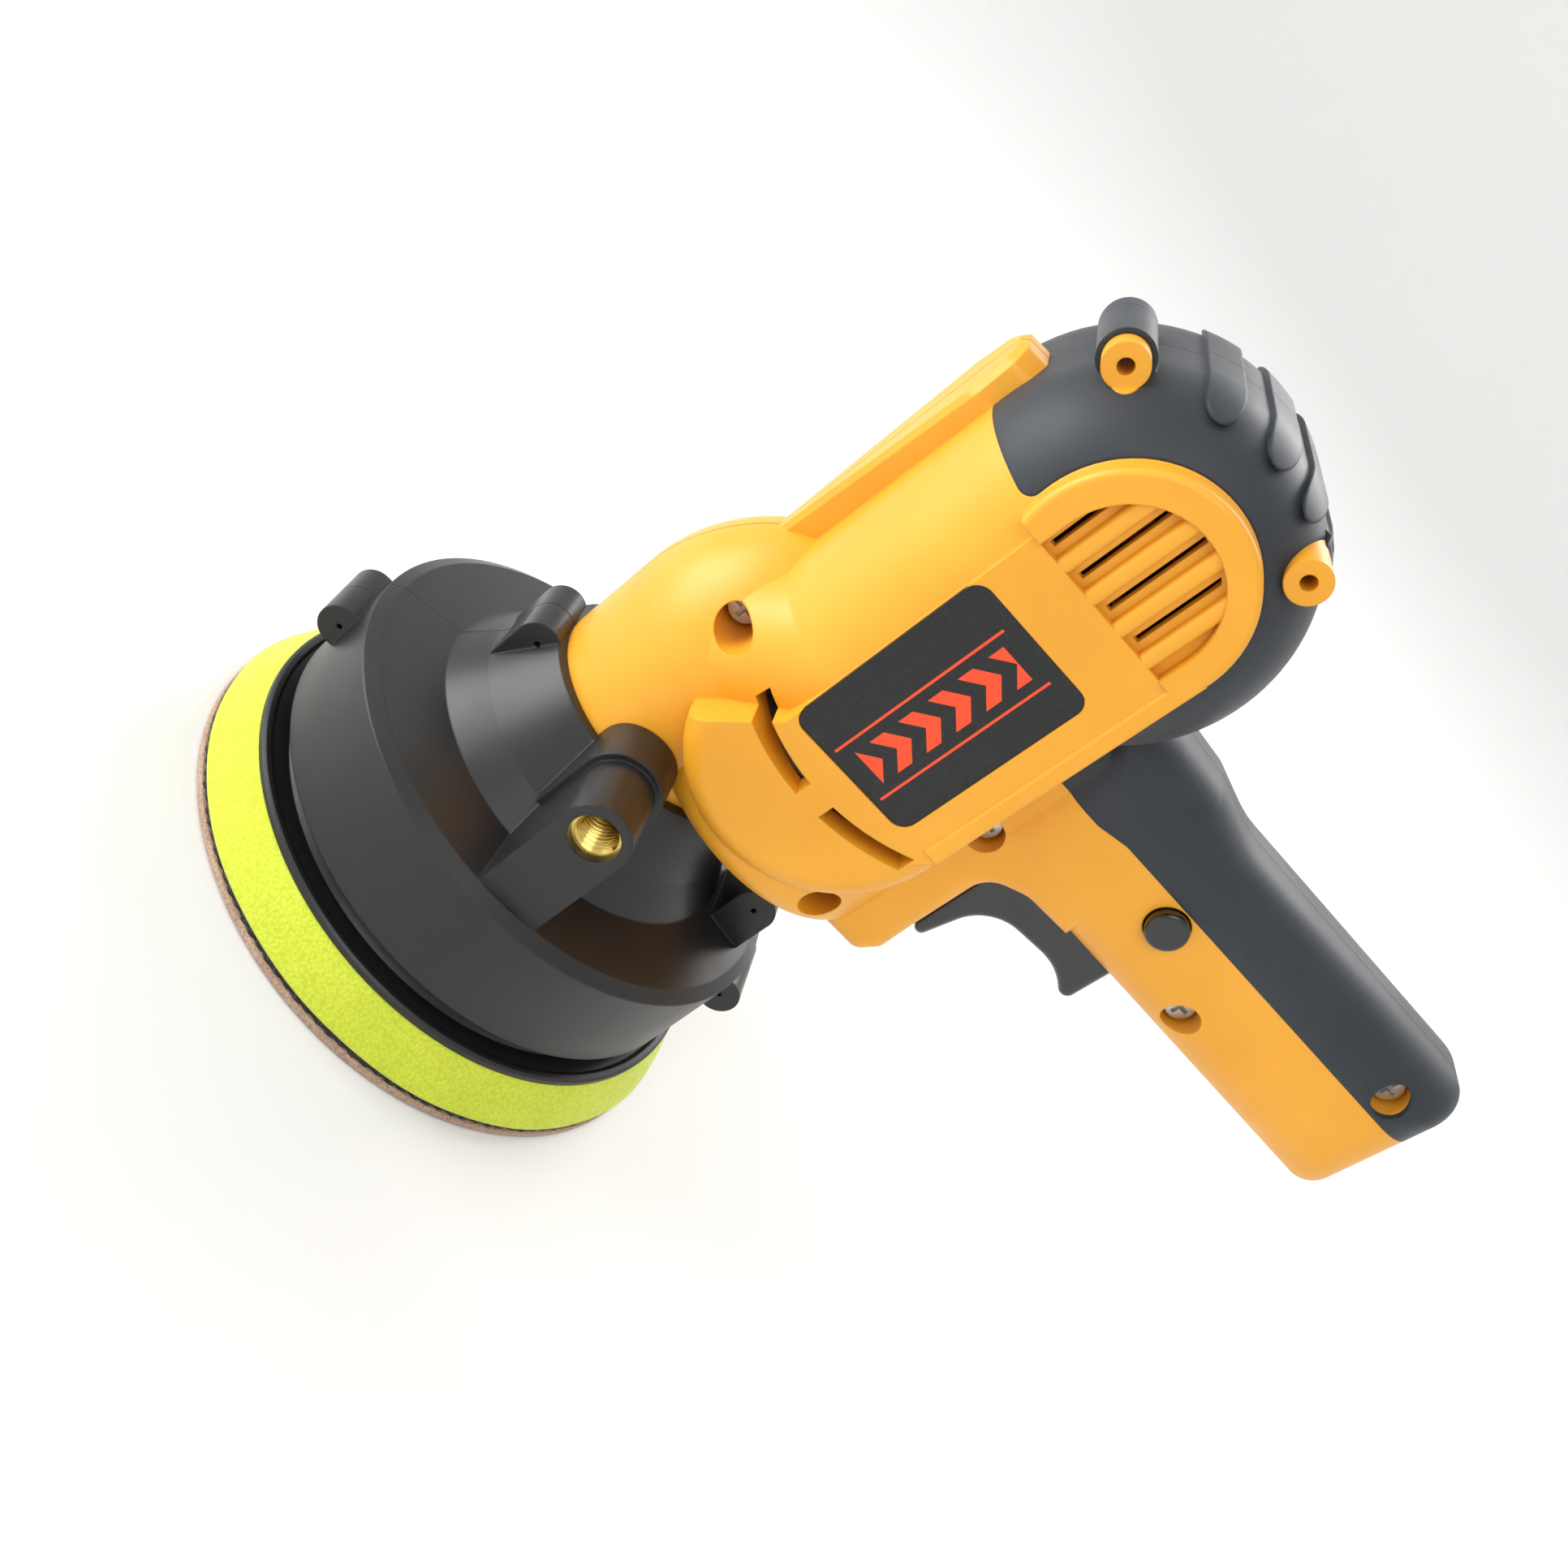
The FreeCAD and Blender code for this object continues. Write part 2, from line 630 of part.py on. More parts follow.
def machine_screw(x, z, head_y, tip_y):
    """Pan-head screw along Y, its head at head_y and its tip at tip_y."""
    sign = math.copysign(1, tip_y - head_y)
    head = cross(SCREW_HEAD_R, x, z, *sorted((head_y, head_y + sign * SCREW_HEAD_T)))
    shank = cross(SCREW_R, x, z, *sorted((head_y + sign, tip_y)))
    arm = SCREW_HEAD_R - 1.0
    level_slot = block(x - arm, x + arm, head_y - 1.1, head_y + 1.1, z - 0.5, z + 0.5)
    upright_slot = block(x - 0.5, x + 0.5, head_y - 1.1, head_y + 1.1, z - arm, z + arm)
    return fuse(head, shank).cut(level_slot).cut(upright_slot)


def bell_screws():
    screws = [machine_screw(x, z, LUG_HALF, -LUG_HALF + 2.5) for x, z in bell_screw_places()]
    return Part.makeCompound(screws)


def bell_screw_holes():
    holes = []
    for x, z in bell_screw_places():
        holes.append(cross(SCREW_HEAD_R + 0.1, x, z, LUG_HALF - SCREW_HEAD_T, LUG_HALF + 1))
        holes.append(cross(SCREW_R, x, z, -LUG_HALF + 2.5, LUG_HALF))
        holes.append(cross(0.6, x, z, -LUG_HALF - 1, -LUG_HALF + 2.5))
    return holes[0].multiFuse(holes[1:])


def handle_insert(sign):
    seat_y = sign * (HANDLE_REACH - INSERT_DEPTH)
    inner_y = seat_y - sign * INSERT_L
    y0, y1 = min(seat_y, inner_y), max(seat_y, inner_y)
    return cross(INSERT_R, 0, HANDLE_Z, y0, y1).cut(cross(INSERT_BORE_R, 0, HANDLE_Z, y0, y1))


# ---- housing: each piece of the outside takes an inset, so that skins and hollows follow it ----

def body_block(inset, z0):
    face = Part.Face(outline(body_corners(inset), lambda u, v: Vector(u, v, z0)))
    return face.extrude(Vector(0, 0, DOME_Z - z0))


def body_corners(inset):
    x0 = DOME_X - DOME_R + inset
    x1 = BLOCK_X1 - inset
    half = BODY_HALF - inset
    top_r = DOME_EDGE_R - inset
    low_r = BLOCK_LOW_R - inset
    return [(x0, -half, top_r), (x1, -half, low_r), (x1, half, low_r), (x0, half, top_r)]


def body_front():
    """Shoulder that widens from the round nose to the body's full section."""
    r = FRONT_R
    round_corners = [(-r, -r, r - 0.1), (r, -r, r - 0.1), (r, r, r - 0.1), (-r, r, r - 0.1)]
    small = outline(round_corners, lambda u, v: Vector(u, v, FRONT_Z0))
    large = outline(body_corners(0.0), lambda u, v: Vector(u, v, BLOCK_Z0))
    return Part.makeLoft([small, large], True, True)


def dome(inset):
    whole = round_disc(DOME_X, DOME_Z, DOME_R - inset, BODY_HALF - inset, DOME_EDGE_R - inset)
    rear = whole.common(block(-100, 200, -100, 100, DOME_Z, 300))
    low = whole.common(block(MOTOR_X + 16, 200, -100, 100, 100, DOME_Z))
    return fuse(rear, low)


def under_barrel(inset, z0):
    return cyl(BARREL_R - inset, z0, DOME_Z, BARREL_X)


def round_barrel(inset):
    barrel = under_barrel(inset, BARREL_Z0 + inset)
    front_rim = [e for e in barrel.Edges if abs(e.CenterOfMass.z - BARREL_Z0 - inset) < 1e-4]
    return barrel.makeFillet(BARREL_FRONT_R - inset, front_rim)


def root_corners():
    return [(33, CHIN_Z, 3.0), (CHIN_X - 3, CHIN_Z, 3.0), (CHIN_X, CHIN_Z + 5, 2.0),
            (ARCH_X, CHIN_Z + 15, 8.0), (ARCH_X, GRIP_Z0 - 3, 6.0), (ARCH_X + 8, GRIP_Z0 + 0.5, 6.0),
            (84, GRIP_Z0 + 1, 0), (84, GRIP_Z1 - 4, 0), (33, GRIP_Z1 - 4, 0)]


def grip_corners():
    end = GRIP_X1
    return [(50, GRIP_Z0, 0), (end, GRIP_Z0 - 1.5, 5.0), (end, GRIP_Z1, 5.0), (92, GRIP_Z1, 30.0),
            (79, GRIP_Z1 + 3.5, 6.0), (66, GRIP_Z1 + 4.5, 3.0), (50, GRIP_Z1 + 4.5, 0)]


def grip_root(inset):
    return slab(root_corners(), ROOT_HALF - inset, inset, ROOT_EDGE_R - inset if inset < ROOT_EDGE_R else 0)


def grip(inset):
    return slab(grip_corners(), GRIP_HALF - inset, inset, GRIP_EDGE_R - inset)


def nose():
    """Round nose with the bell's collar in front and a rounded tail that dies into the body."""
    mid_r = NOSE_R * 0.83
    mid_z = NOSE_TAIL_Z + (NOSE_END_Z - NOSE_TAIL_Z) * 0.5
    groove_r = COLLAR_R - GROOVE_DEPTH
    return lathe([(0, COLLAR_Z), (COLLAR_R, COLLAR_Z), (COLLAR_R, GROOVE_Z), (groove_r, GROOVE_Z),
                  (groove_r, GROOVE_Z + GROOVE_W), (COLLAR_R, GROOVE_Z + GROOVE_W), (COLLAR_R, NECK_Z),
                  (NOSE_R, NECK_Z), (NOSE_R, NOSE_TAIL_Z, mid_r, mid_z), (6, NOSE_END_Z), (0, NOSE_END_Z)])


def panel_half():
    return BODY_HALF + PANEL_RISE


def cheek():
    """Round front of the fan housing, its upper rear part cut back to the label panel's corner."""
    disc = round_disc(CHEEK_X, CHEEK_Z, CHEEK_R, panel_half(), CHEEK_EDGE_R)
    keep = slab([(-30, 50, 0), (70, 50, 0), (70, 110, 0), (PANEL_X0, 110, 0), (PANEL_X0, 103.2, 0),
                 (-2.6, 88.6, 0), (-30, 70, 0)], 60)
    return disc.common(keep)


def side_panel():
    """Flat raised panel on both sides that carries the label and runs back to the vent ring."""
    corners = [(PANEL_X0, CHEEK_Z - 4, 0), (BLOCK_X1 - 5, CHEEK_Z - 4, 0), (BLOCK_X1, CHEEK_Z + 4, 0),
               (BLOCK_X1, VENT_Z, 0), (PANEL_X0, VENT_Z, 0)]
    return slab(corners, panel_half())


def vent_ring():
    top = panel_half() + BEAD_RISE
    ring = round_disc(VENT_X, VENT_Z, VENT_RING_R, top, 1.2)
    ring = ring.common(block(-100, 200, -100, 100, VENT_FRONT_Z, 300))
    low_edge = block(BLOCK_X1 - BEAD_W, BLOCK_X1, -top, top, CHEEK_Z + 4, VENT_Z)
    long_edges = [e for e in low_edge.Edges if abs(e.CenterOfMass.y) > top - 0.1]
    return ring, low_edge.makeFillet(0.65, long_edges)


def spine():
    """Tapered ridge on top of the body, its sides sloping in and its top edge broken."""
    def level(x, inset):
        tip = SPINE_TIP_HALF - inset * 0.5
        wide = SPINE_HALF - inset
        z0 = SPINE_Z0 + inset
        z1 = SPINE_Z1 - inset
        corners = [(-tip, z0, 0.6), (tip, z0, 0.6), (wide, z1 - 11, 3.0), (wide - 1.5, z1 - 3, 3.0),
                   (wide - 5.5, z1, 3.0), (5.5 - wide, z1, 3.0), (1.5 - wide, z1 - 3, 3.0),
                   (-wide, z1 - 11, 3.0)]
        return outline(corners, lambda u, v: Vector(x + SPINE_TILT * (v - SPINE_Z0), u, v))
    levels = [level(SPINE_TOP_X + 10, 0.0), level(SPINE_TOP_X + 1.2, 0.6), level(SPINE_TOP_X, 1.8)]
    return Part.makeLoft(levels, True, True)


def vent_hollow():
    """D-shaped recess of the rear vent on the left side, less its bars."""
    top = panel_half() + BEAD_RISE + 1
    floor_y = panel_half() - VENT_DEPTH
    straight = block(VENT_X - VENT_R, VENT_X + VENT_R, -top, -floor_y, VENT_FRONT_Z, VENT_Z)
    hollow = fuse(cross(VENT_R, VENT_X, VENT_Z, -top, -floor_y), straight)
    hollow = hollow.cut(block(VENT_X - 30, VENT_X + 30, -100, 0, VENT_Z - 30, VENT_FRONT_Z))
    for k in range(4):
        bar_x = VENT_SLOT_X + VENT_PITCH * (k + 0.5)
        bar = block(bar_x - VENT_BAR_W / 2, bar_x + VENT_BAR_W / 2, -panel_half(), 0, VENT_FRONT_Z, 250)
        front = [e for e in bar.Edges if abs(e.CenterOfMass.y + panel_half()) < 1e-4]
        hollow = hollow.cut(bar.makeFillet(1.2, [e for e in front if abs(e.CenterOfMass.x - bar_x) > 0.5]))
    return hollow


def vent_slots():
    """Narrow slots through the vent's floor, between its bars."""
    bound = cross(VENT_R - 0.8, VENT_X, VENT_Z, -100, 0)
    bound = fuse(bound, block(VENT_X - VENT_R, VENT_X + VENT_R, -100, 0, VENT_FRONT_Z + 0.8, VENT_Z))
    bound = bound.cut(block(VENT_X - 30, VENT_X + 30, -100, 0, VENT_Z - 30, VENT_FRONT_Z + 0.8))
    slots = []
    for k in range(4):
        x = VENT_SLOT_X + VENT_PITCH * k
        slot = block(x - VENT_SLOT_W / 2, x + VENT_SLOT_W / 2, -100, -BODY_HALF + 10, 150, 200)
        slots.append(slot.common(bound))
    return slots


def front_slots():
    arc_x, arc_z, arc_r = SLOT_ARC
    y_in = -BODY_HALF + 14
    outer = cross(arc_r + SLOT_W / 2, arc_x, arc_z, -100, y_in)
    ring = outer.cut(cross(arc_r - SLOT_W / 2, arc_x, arc_z, -100, y_in))
    return [ring.common(block(x0, x1, -100, y_in, 50, arc_z)) for x0, x1 in FRONT_SLOTS]


def label(grow, y_out, y_in):
    x0, x1 = LABEL_X
    z0, z1 = LABEL_Z
    g = grow
    corners = [(x0 - g, z0 - g, LABEL_CORNER_R), (x1 + g, z0 - g, LABEL_CORNER_R),
               (x1 + g, z1 + g, LABEL_CORNER_R), (x0 - g, z1 + g, LABEL_CORNER_R)]
    face = Part.Face(outline(corners))
    face.translate(Vector(0, y_out, 0))
    return face.extrude(Vector(0, y_in - y_out, 0))


def label_y():
    return panel_half() - LABEL_SUNK


def outside(inset=0.0):
    """The full outer form of body and grip, without nose and panel when it is inset."""
    if inset:
        return fuse(dome(inset), body_block(inset, BLOCK_Z0), under_barrel(inset, BARREL_Z0 + inset),
                    grip_root(inset), grip(inset))
    ring, low_edge = vent_ring()
    form = fuse(dome(0.0), body_block(0.0, BLOCK_Z0), body_front(), round_barrel(0.0), grip_root(0.0),
                grip(0.0), nose())
    return fuse(form, cheek(), side_panel(), ring, low_edge, spine())


def rubber_zone():
    """Everything behind the overmould's edge, seen from the side."""
    border_r = VENT_RING_R + VENT_BORDER_GAP
    low_x = VENT_X + border_r
    high_x = VENT_X - border_r
    corners = [(-60, -60, 0), (250, -60, 0), (250, RUBBER_GRIP_Z, 0), (73, RUBBER_GRIP_Z, 6.0),
               (66, RUBBER_LOW_Z, 4.0), (low_x, RUBBER_LOW_Z, 3.0), (low_x, VENT_Z, 0), (high_x, VENT_Z, 0),
               (high_x, RUBBER_Z - 3.4, 2.5), (-60, RUBBER_Z + 1.5, 0)]
    yellow = fuse(slab(corners, 90), cross(border_r, VENT_X, VENT_Z, -90, 90))
    return block(-100, 240, -80, 80, 60, 240).cut(yellow)


def rubber_ribs():
    """Raised finger ribs across the rear edge, following the dome's surface."""
    swollen = round_disc(DOME_X, DOME_Z, DOME_R + RIB_RISE, BODY_HALF + RIB_RISE, DOME_EDGE_R + RIB_RISE)
    end_x = DOME_X + DOME_R - RIB_INWARD + RIB_R
    ribs = []
    for angle in RIB_ANGLES:
        rib = fuse(cross(RIB_R, end_x, DOME_Z, -60, 60),
                   block(end_x, end_x + 30, -60, 60, DOME_Z - RIB_R, DOME_Z + RIB_R))
        rib = rib.rotated(Vector(DOME_X, 0, DOME_Z), Vector(0, 1, 0), -angle)
        ribs.append(rib.common(swollen))
    return ribs


def rear_hoods():
    """Rubber sleeves round the rear screw bosses."""
    reach = REAR_HOOD_REACH
    return [cross(REAR_HOOD_R, x, z, -reach, min(reach, right)) for x, z, left, right in SCREWS_REAR]


def rubber_band():
    """The whole overmould before the parts that pass through it are taken out."""
    band = outside_rubbered().common(rubber_zone()).cut(outside(RUBBER_T)).cut(spine())
    for x, z, left, right in SCREWS_REAR:
        band = band.cut(cross(REAR_BOSS_R, x, z, -80, 80))
    return band


def rubber_grip(band):
    skin = band.cut(cable_hole())
    for x, z in SCREWS_LEFT:
        skin = skin.cut(cross(RECESS_R, x, z, -80, 0))
    return halves(skin)


def outside_rubbered():
    return fuse(dome(0.0), body_block(0.0, BLOCK_Z0), under_barrel(0.0, BARREL_Z0), grip_root(0.0), grip(0.0),
                *rubber_ribs(), *rear_hoods())


def cable_hole():
    return Part.makeCylinder(CABLE_R, 40, Vector(GRIP_X1 - 30, 0, cable_z()), Vector(1, 0, 0))


def cable_z():
    return (GRIP_Z0 + GRIP_Z1) / 2


def fan_room_z0():
    return BRIDGE_BEARING_Z + TAIL_BEARING[2] + 1.5


def motor_room_z0():
    return FAN_Z + FAN_H + 1.5


def motor_room():
    return fuse(body_block(WALL, motor_room_z0()), under_barrel(WALL, fan_room_z0()), dome(WALL))


def hollows():
    """The rooms inside the housing."""
    gear_r = MODULE * GEAR_TEETH / 2 + GEAR_CHAMBER_GAP + 0.9
    pinion_r = MODULE * PINION_TEETH / 2 + 1.8
    chamber_z1 = BRIDGE_BEARING_Z - 1.5
    fan_z0 = fan_room_z0()
    rooms = [cyl(gear_r, GEAR_Z - 3.5, chamber_z1), cyl(pinion_r, GEAR_Z - 1.0, chamber_z1, MOTOR_X),
             cyl(FAN_CHAMBER_R, fan_z0, motor_room_z0() + 0.5, MOTOR_X), motor_room()]
    grip_room = grip(GRIP_WALL).common(block(BLOCK_X1 + 3, GRIP_X1 - GRIP_END_WALL, -50, 50, 50, 200))
    passage = block(BLOCK_X1 - 6, BLOCK_X1 + 8, -8, 8, GRIP_Z0 + 10, GRIP_Z1 - 6)
    chin_room = grip_root(GRIP_WALL).common(block(37, ARCH_X - 4, -50, 50, CHIN_Z, fan_z0))
    mouth = block(TRIGGER_X[0] - TRIGGER_GAP, TRIGGER_X[1] + TRIGGER_GAP, -TRIGGER_HALF - TRIGGER_GAP,
                  TRIGGER_HALF + TRIGGER_GAP, TRIGGER_TIP_Z, GRIP_Z0 + 12)
    return fuse(rooms[0], *rooms[1:], grip_room, passage, chin_room, mouth)


def bearing_pockets():
    pockets = []
    for size, z0, x in bearings():
        pockets.append(cyl(size[0], z0, z0 + size[2], x))
        pockets.append(cyl(size[1] + 2.5, z0 - 3.0, z0 + size[2] + 3.0, x))
    pockets.append(cyl(SPINDLE_R + 4.0, COLLAR_Z - 1, FRONT_BEARING_Z))
    pockets.append(cyl(SPINDLE_R + 3.0, FRONT_BEARING_Z + FRONT_BEARING[2], GEAR_Z))
    return pockets


def bearings():
    return ((FRONT_BEARING, FRONT_BEARING_Z, 0.0), (TAIL_BEARING, BRIDGE_BEARING_Z, 0.0),
            (TAIL_BEARING, BRIDGE_BEARING_Z, MOTOR_X), (REAR_BEARING, REAR_BEARING_Z, MOTOR_X))


def inner_ribs():
    """Ribs that hold the stator and brushes, the rear bearing's tower and the screw bosses."""
    room = motor_room()
    ribs = []
    for z0 in (CORE_Z + 2, CORE_Z + CORE_L - 5):
        ribs.append(room.common(cyl(90, z0, z0 + 3)).cut(cyl(STATOR_R, z0, z0 + 3, MOTOR_X)))
    web_z1 = brush_z() - BRUSH_TUBE_WALL
    web = room.common(block(-60, 90, -9, 9, web_z1 - 2.0, web_z1))
    bearing_z1 = REAR_BEARING_Z + REAR_BEARING[2]
    tower = cyl(REAR_BEARING[0] + 3.0, REAR_BEARING_Z - 1.5, DOME_Z + DOME_R, MOTOR_X).common(dome(2.0))
    ribs += [web.cut(cyl(COMM_R + 2.0, web_z1 - 2.0, web_z1, MOTOR_X)),
             tower.cut(cyl(REAR_BEARING[0] - 2, bearing_z1 + 2, 300, MOTOR_X))]
    return ribs


def screw_bosses():
    form = fuse(outside(RUBBER_T), nose())
    bosses = [cross(BOSS_R, x, z, -BODY_HALF, BODY_HALF).common(form) for x, z in SCREWS_LEFT]
    return bosses + [cross(REAR_BOSS_R, x, z, -left, right) for x, z, left, right in SCREWS_REAR]


def rear_seat(right):
    """Y of the screw head's seat in a rear boss that ends at right."""
    return min(SCREW_REACH, right - SCREW_HEAD_T - 0.2)


def screw_holes():
    holes = []
    for x, z in SCREWS_LEFT:
        holes.append(cross(RECESS_R, x, z, -80, -SCREW_REACH))
        holes.append(cross(SCREW_R, x, z, -SCREW_REACH, SCREW_REACH))
    for x, z, left, right in SCREWS_REAR:
        holes.append(cross(PILOT_R, x, z, -left, -SCREW_REACH))
        holes.append(cross(SCREW_R, x, z, -SCREW_REACH, rear_seat(right)))
        holes.append(cross(SCREW_HEAD_R, x, z, rear_seat(right), right + 1))
    return holes


def switch_seat():
    x0, x1 = SWITCH_X
    z0, z1 = SWITCH_Z
    room = grip(GRIP_WALL).common(block(x0, x1, -50, 50, z0 + 4, z1 - 4))
    return room.cut(block(x0, x1, -SWITCH_HALF, SWITCH_HALF, z0, z1)).cut(lock_path(0.4))


def lock_path(gap):
    return cross(LOCK_R + gap, LOCK_X, LOCK_Z, -80, -SWITCH_HALF)


def housing_shells():
    shell = outside().cut(hollows())
    shell = fuse(shell, *inner_ribs(), *screw_bosses(), switch_seat())
    for cutter in (fuse_all(bearing_pockets()), fuse_all(screw_holes()), cable_hole(), lock_path(0.3)):
        shell = shell.cut(cutter)
    label_seat = label(LABEL_GAP, -label_y() - 5, -label_y() + LABEL_T)
    vents = [vent_hollow(), label_seat] + vent_slots() + front_slots()
    for cutter in vents:
        shell = shell.cut(cutter).cut(cutter.mirror(Vector(), Vector(0, 1, 0)))
    band = rubber_band()
    return halves(shell.cut(band)), rubber_grip(band)


def fuse_all(solids):
    return solids[0].multiFuse(solids[1:])


def housing_screws():
    screws = [machine_screw(x, z, -SCREW_REACH - SCREW_HEAD_T, SCREW_REACH) for x, z in SCREWS_LEFT]
    for x, z, left, right in SCREWS_REAR:
        screws.append(machine_screw(x, z, rear_seat(right) + SCREW_HEAD_T, -SCREW_REACH))
    return Part.makeCompound(screws)


# ---- trigger group ----

def trigger():
    x0, x1 = TRIGGER_X
    tip = TRIGGER_TIP_Z
    back = TRIGGER_BACK_Z
    corners = [(x0, tip + 3.5, 1.0), (x0 + 3.5, tip, 1.4), (x0 + 7.0, tip + 18, 10.0),
               (x1 - 8, tip + 19.5, 14.0), (x1, tip + 14, 2.0), (x1, back, 1.0), (x0, back, 1.0)]
    body = slab(corners, TRIGGER_HALF, 0.0, 1.8)
    room = block(x0 + 3, x1 - 3, -TRIGGER_HALF + 2, TRIGGER_HALF - 2, tip + 26, back + 1)
    post = cyl(STEM_R + 2.0, tip + 24, back - 1.0, STEM_X)
    stem = cyl(STEM_R, back - 2.0, SWITCH_Z[0] + 5.0, STEM_X)
    return fuse(body.cut(room), post, stem)


def trigger_spring():
    z0 = TRIGGER_BACK_Z - 1.0
    return coil(STEM_R + 1.3, 0.3, SWITCH_Z[0] - z0, 2.2, Vector(STEM_X, 0, z0), Vector(0, 0, 1))


def switch_body():
    body = block(SWITCH_X[0], SWITCH_X[1], -SWITCH_HALF, SWITCH_HALF, *SWITCH_Z)
    body = body.makeFillet(1.0, [e for e in body.Edges if abs(e.CenterOfMass.x - sum(SWITCH_X) / 2) > 10])
    bore = cyl(STEM_R + 0.3, SWITCH_Z[0], SWITCH_Z[0] + 6.0 + TRIGGER_TRAVEL, STEM_X)
    return body.cut(bore).cut(cross(2.3, LOCK_X, LOCK_Z, -SWITCH_HALF, -SWITCH_HALF + 2.5 + LOCK_TRAVEL))


def lock_button():
    cap_y1 = -SWITCH_HALF - LOCK_TRAVEL - 0.4
    cap = cross(LOCK_R, LOCK_X, LOCK_Z, -GRIP_HALF - LOCK_OUT, cap_y1)
    rim = [e for e in cap.Edges if abs(e.CenterOfMass.y + GRIP_HALF + LOCK_OUT) < 1e-4]
    return fuse(cap.makeFillet(0.8, rim), cross(2.0, LOCK_X, LOCK_Z, cap_y1 - 0.5, -SWITCH_HALF + 2.0))


def build():
    (left_housing, right_housing), (left_rubber, right_rubber) = housing_shells()
    left_bell, right_bell = bell_shells()
    half_step = 180.0 / PINION_TEETH
    y_in = -label_y() + LABEL_T
    left_label = label(0.0, -label_y(), y_in)
    return {
        "left_housing": left_housing,
        "right_housing": right_housing,
        "left_rubber_grip": left_rubber,
        "right_rubber_grip": right_rubber,
        "left_label": left_label,
        "right_label": left_label.mirror(Vector(), Vector(0, 1, 0)),
        "housing_screws": housing_screws(),
        "left_shroud": left_bell,
        "right_shroud": right_bell,
        "shroud_screws": bell_screws(),
        "left_handle_insert": handle_insert(-1),
        "right_handle_insert": handle_insert(1),
        "abrasive_disc": abrasive_disc(),
        "hook_layer": hook_layer(),
        "foam_pad": foam_pad(),
        "backing_plate": backing_plate(),
        "spindle": spindle(),
        "spindle_circlip": spindle_circlip(),
        "spindle_gear": spur_gear(GEAR_TEETH, 0.0, GEAR_Z, GEAR_Z + GEAR_W, SPINDLE_R, 0.0),
        "spindle_front_bearing": ball_bearing(FRONT_BEARING, FRONT_BEARING_Z, 0.0),
        "spindle_rear_bearing": ball_bearing(TAIL_BEARING, BRIDGE_BEARING_Z, 0.0),
        "motor_pinion": spur_gear(PINION_TEETH, MOTOR_X, GEAR_Z - 0.5, GEAR_Z + GEAR_W + 0.5, 3.0, half_step),
        "armature_shaft": armature_shaft(),
        "armature_core": armature_core(),
        "armature_windings": armature_windings(),
        "commutator": commutator(),
        "cooling_fan": cooling_fan(),
        "armature_front_bearing": ball_bearing(TAIL_BEARING, BRIDGE_BEARING_Z, MOTOR_X),
        "armature_rear_bearing": ball_bearing(REAR_BEARING, REAR_BEARING_Z, MOTOR_X),
        "stator_core": stator_core(),
        "field_coils": field_coils(),
        "brush_holders": brush_holders(),
        "carbon_brushes": carbon_brushes(),
        "brush_springs": brush_springs(),
        "switch_body": switch_body(),
        "trigger": trigger(),
        "trigger_spring": trigger_spring(),
        "lock_button": lock_button(),
    }


os.makedirs("parts", exist_ok=True)
for node, shape in build().items():
    shape.exportStep(os.path.join("parts", node + ".step"))
    state = "valid" if shape.isValid() else "not valid"
    print(node, len(shape.Solids), "solids", round(shape.Volume, 1), "mm3", state)
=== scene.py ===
"""Looks of the rotary polisher: moulded yellow body, soft black rubber, split black shroud and foam pad."""

import logging
import math
from dataclasses import dataclass
from enum import Enum

import bmesh
import bpy
from mathutils import Matrix, Vector


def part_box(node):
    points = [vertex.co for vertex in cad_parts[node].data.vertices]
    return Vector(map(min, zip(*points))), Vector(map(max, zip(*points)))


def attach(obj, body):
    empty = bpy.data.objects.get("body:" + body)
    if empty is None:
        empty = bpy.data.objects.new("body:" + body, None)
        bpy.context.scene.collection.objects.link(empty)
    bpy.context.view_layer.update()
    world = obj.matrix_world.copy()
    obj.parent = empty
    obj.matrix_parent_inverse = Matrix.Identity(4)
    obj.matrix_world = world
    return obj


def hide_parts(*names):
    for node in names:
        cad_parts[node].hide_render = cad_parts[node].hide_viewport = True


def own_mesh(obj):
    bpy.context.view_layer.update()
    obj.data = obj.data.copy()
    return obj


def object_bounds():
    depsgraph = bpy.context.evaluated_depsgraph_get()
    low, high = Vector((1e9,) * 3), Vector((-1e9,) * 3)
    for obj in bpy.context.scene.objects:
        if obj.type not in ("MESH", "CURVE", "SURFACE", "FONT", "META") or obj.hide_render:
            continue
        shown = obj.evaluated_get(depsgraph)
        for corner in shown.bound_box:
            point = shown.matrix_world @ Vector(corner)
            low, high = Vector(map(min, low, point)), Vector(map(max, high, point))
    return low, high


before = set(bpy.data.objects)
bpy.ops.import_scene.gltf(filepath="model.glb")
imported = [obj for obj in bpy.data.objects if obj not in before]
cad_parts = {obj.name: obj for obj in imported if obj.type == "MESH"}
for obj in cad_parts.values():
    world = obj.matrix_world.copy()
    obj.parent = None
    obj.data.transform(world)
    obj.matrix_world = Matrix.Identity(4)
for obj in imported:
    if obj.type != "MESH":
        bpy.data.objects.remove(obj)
CAD_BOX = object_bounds()

MM = 0.001
LOG = logging.getLogger("polisher")


def linear(hex_colour: str) -> tuple[float, float, float, float]:
    """Turns an sRGB hex colour to linear light.

    Args:
        hex_colour: Colour such as "#F5B335".

    Returns:
        Red, green, blue and alpha, each from 0 to 1.
    """
    levels = [int(hex_colour[i : i + 2], 16) / 255 for i in (1, 3, 5)]
    red, green, blue = (c / 12.92 if c <= 0.04045 else ((c + 0.055) / 1.055) ** 2.4 for c in levels)
    return red, green, blue, 1.0


def per_mm(size_mm: float) -> float:
    """Gives a texture's scale for one feature every size_mm millimetres."""
    return 1.0 / (size_mm * MM)


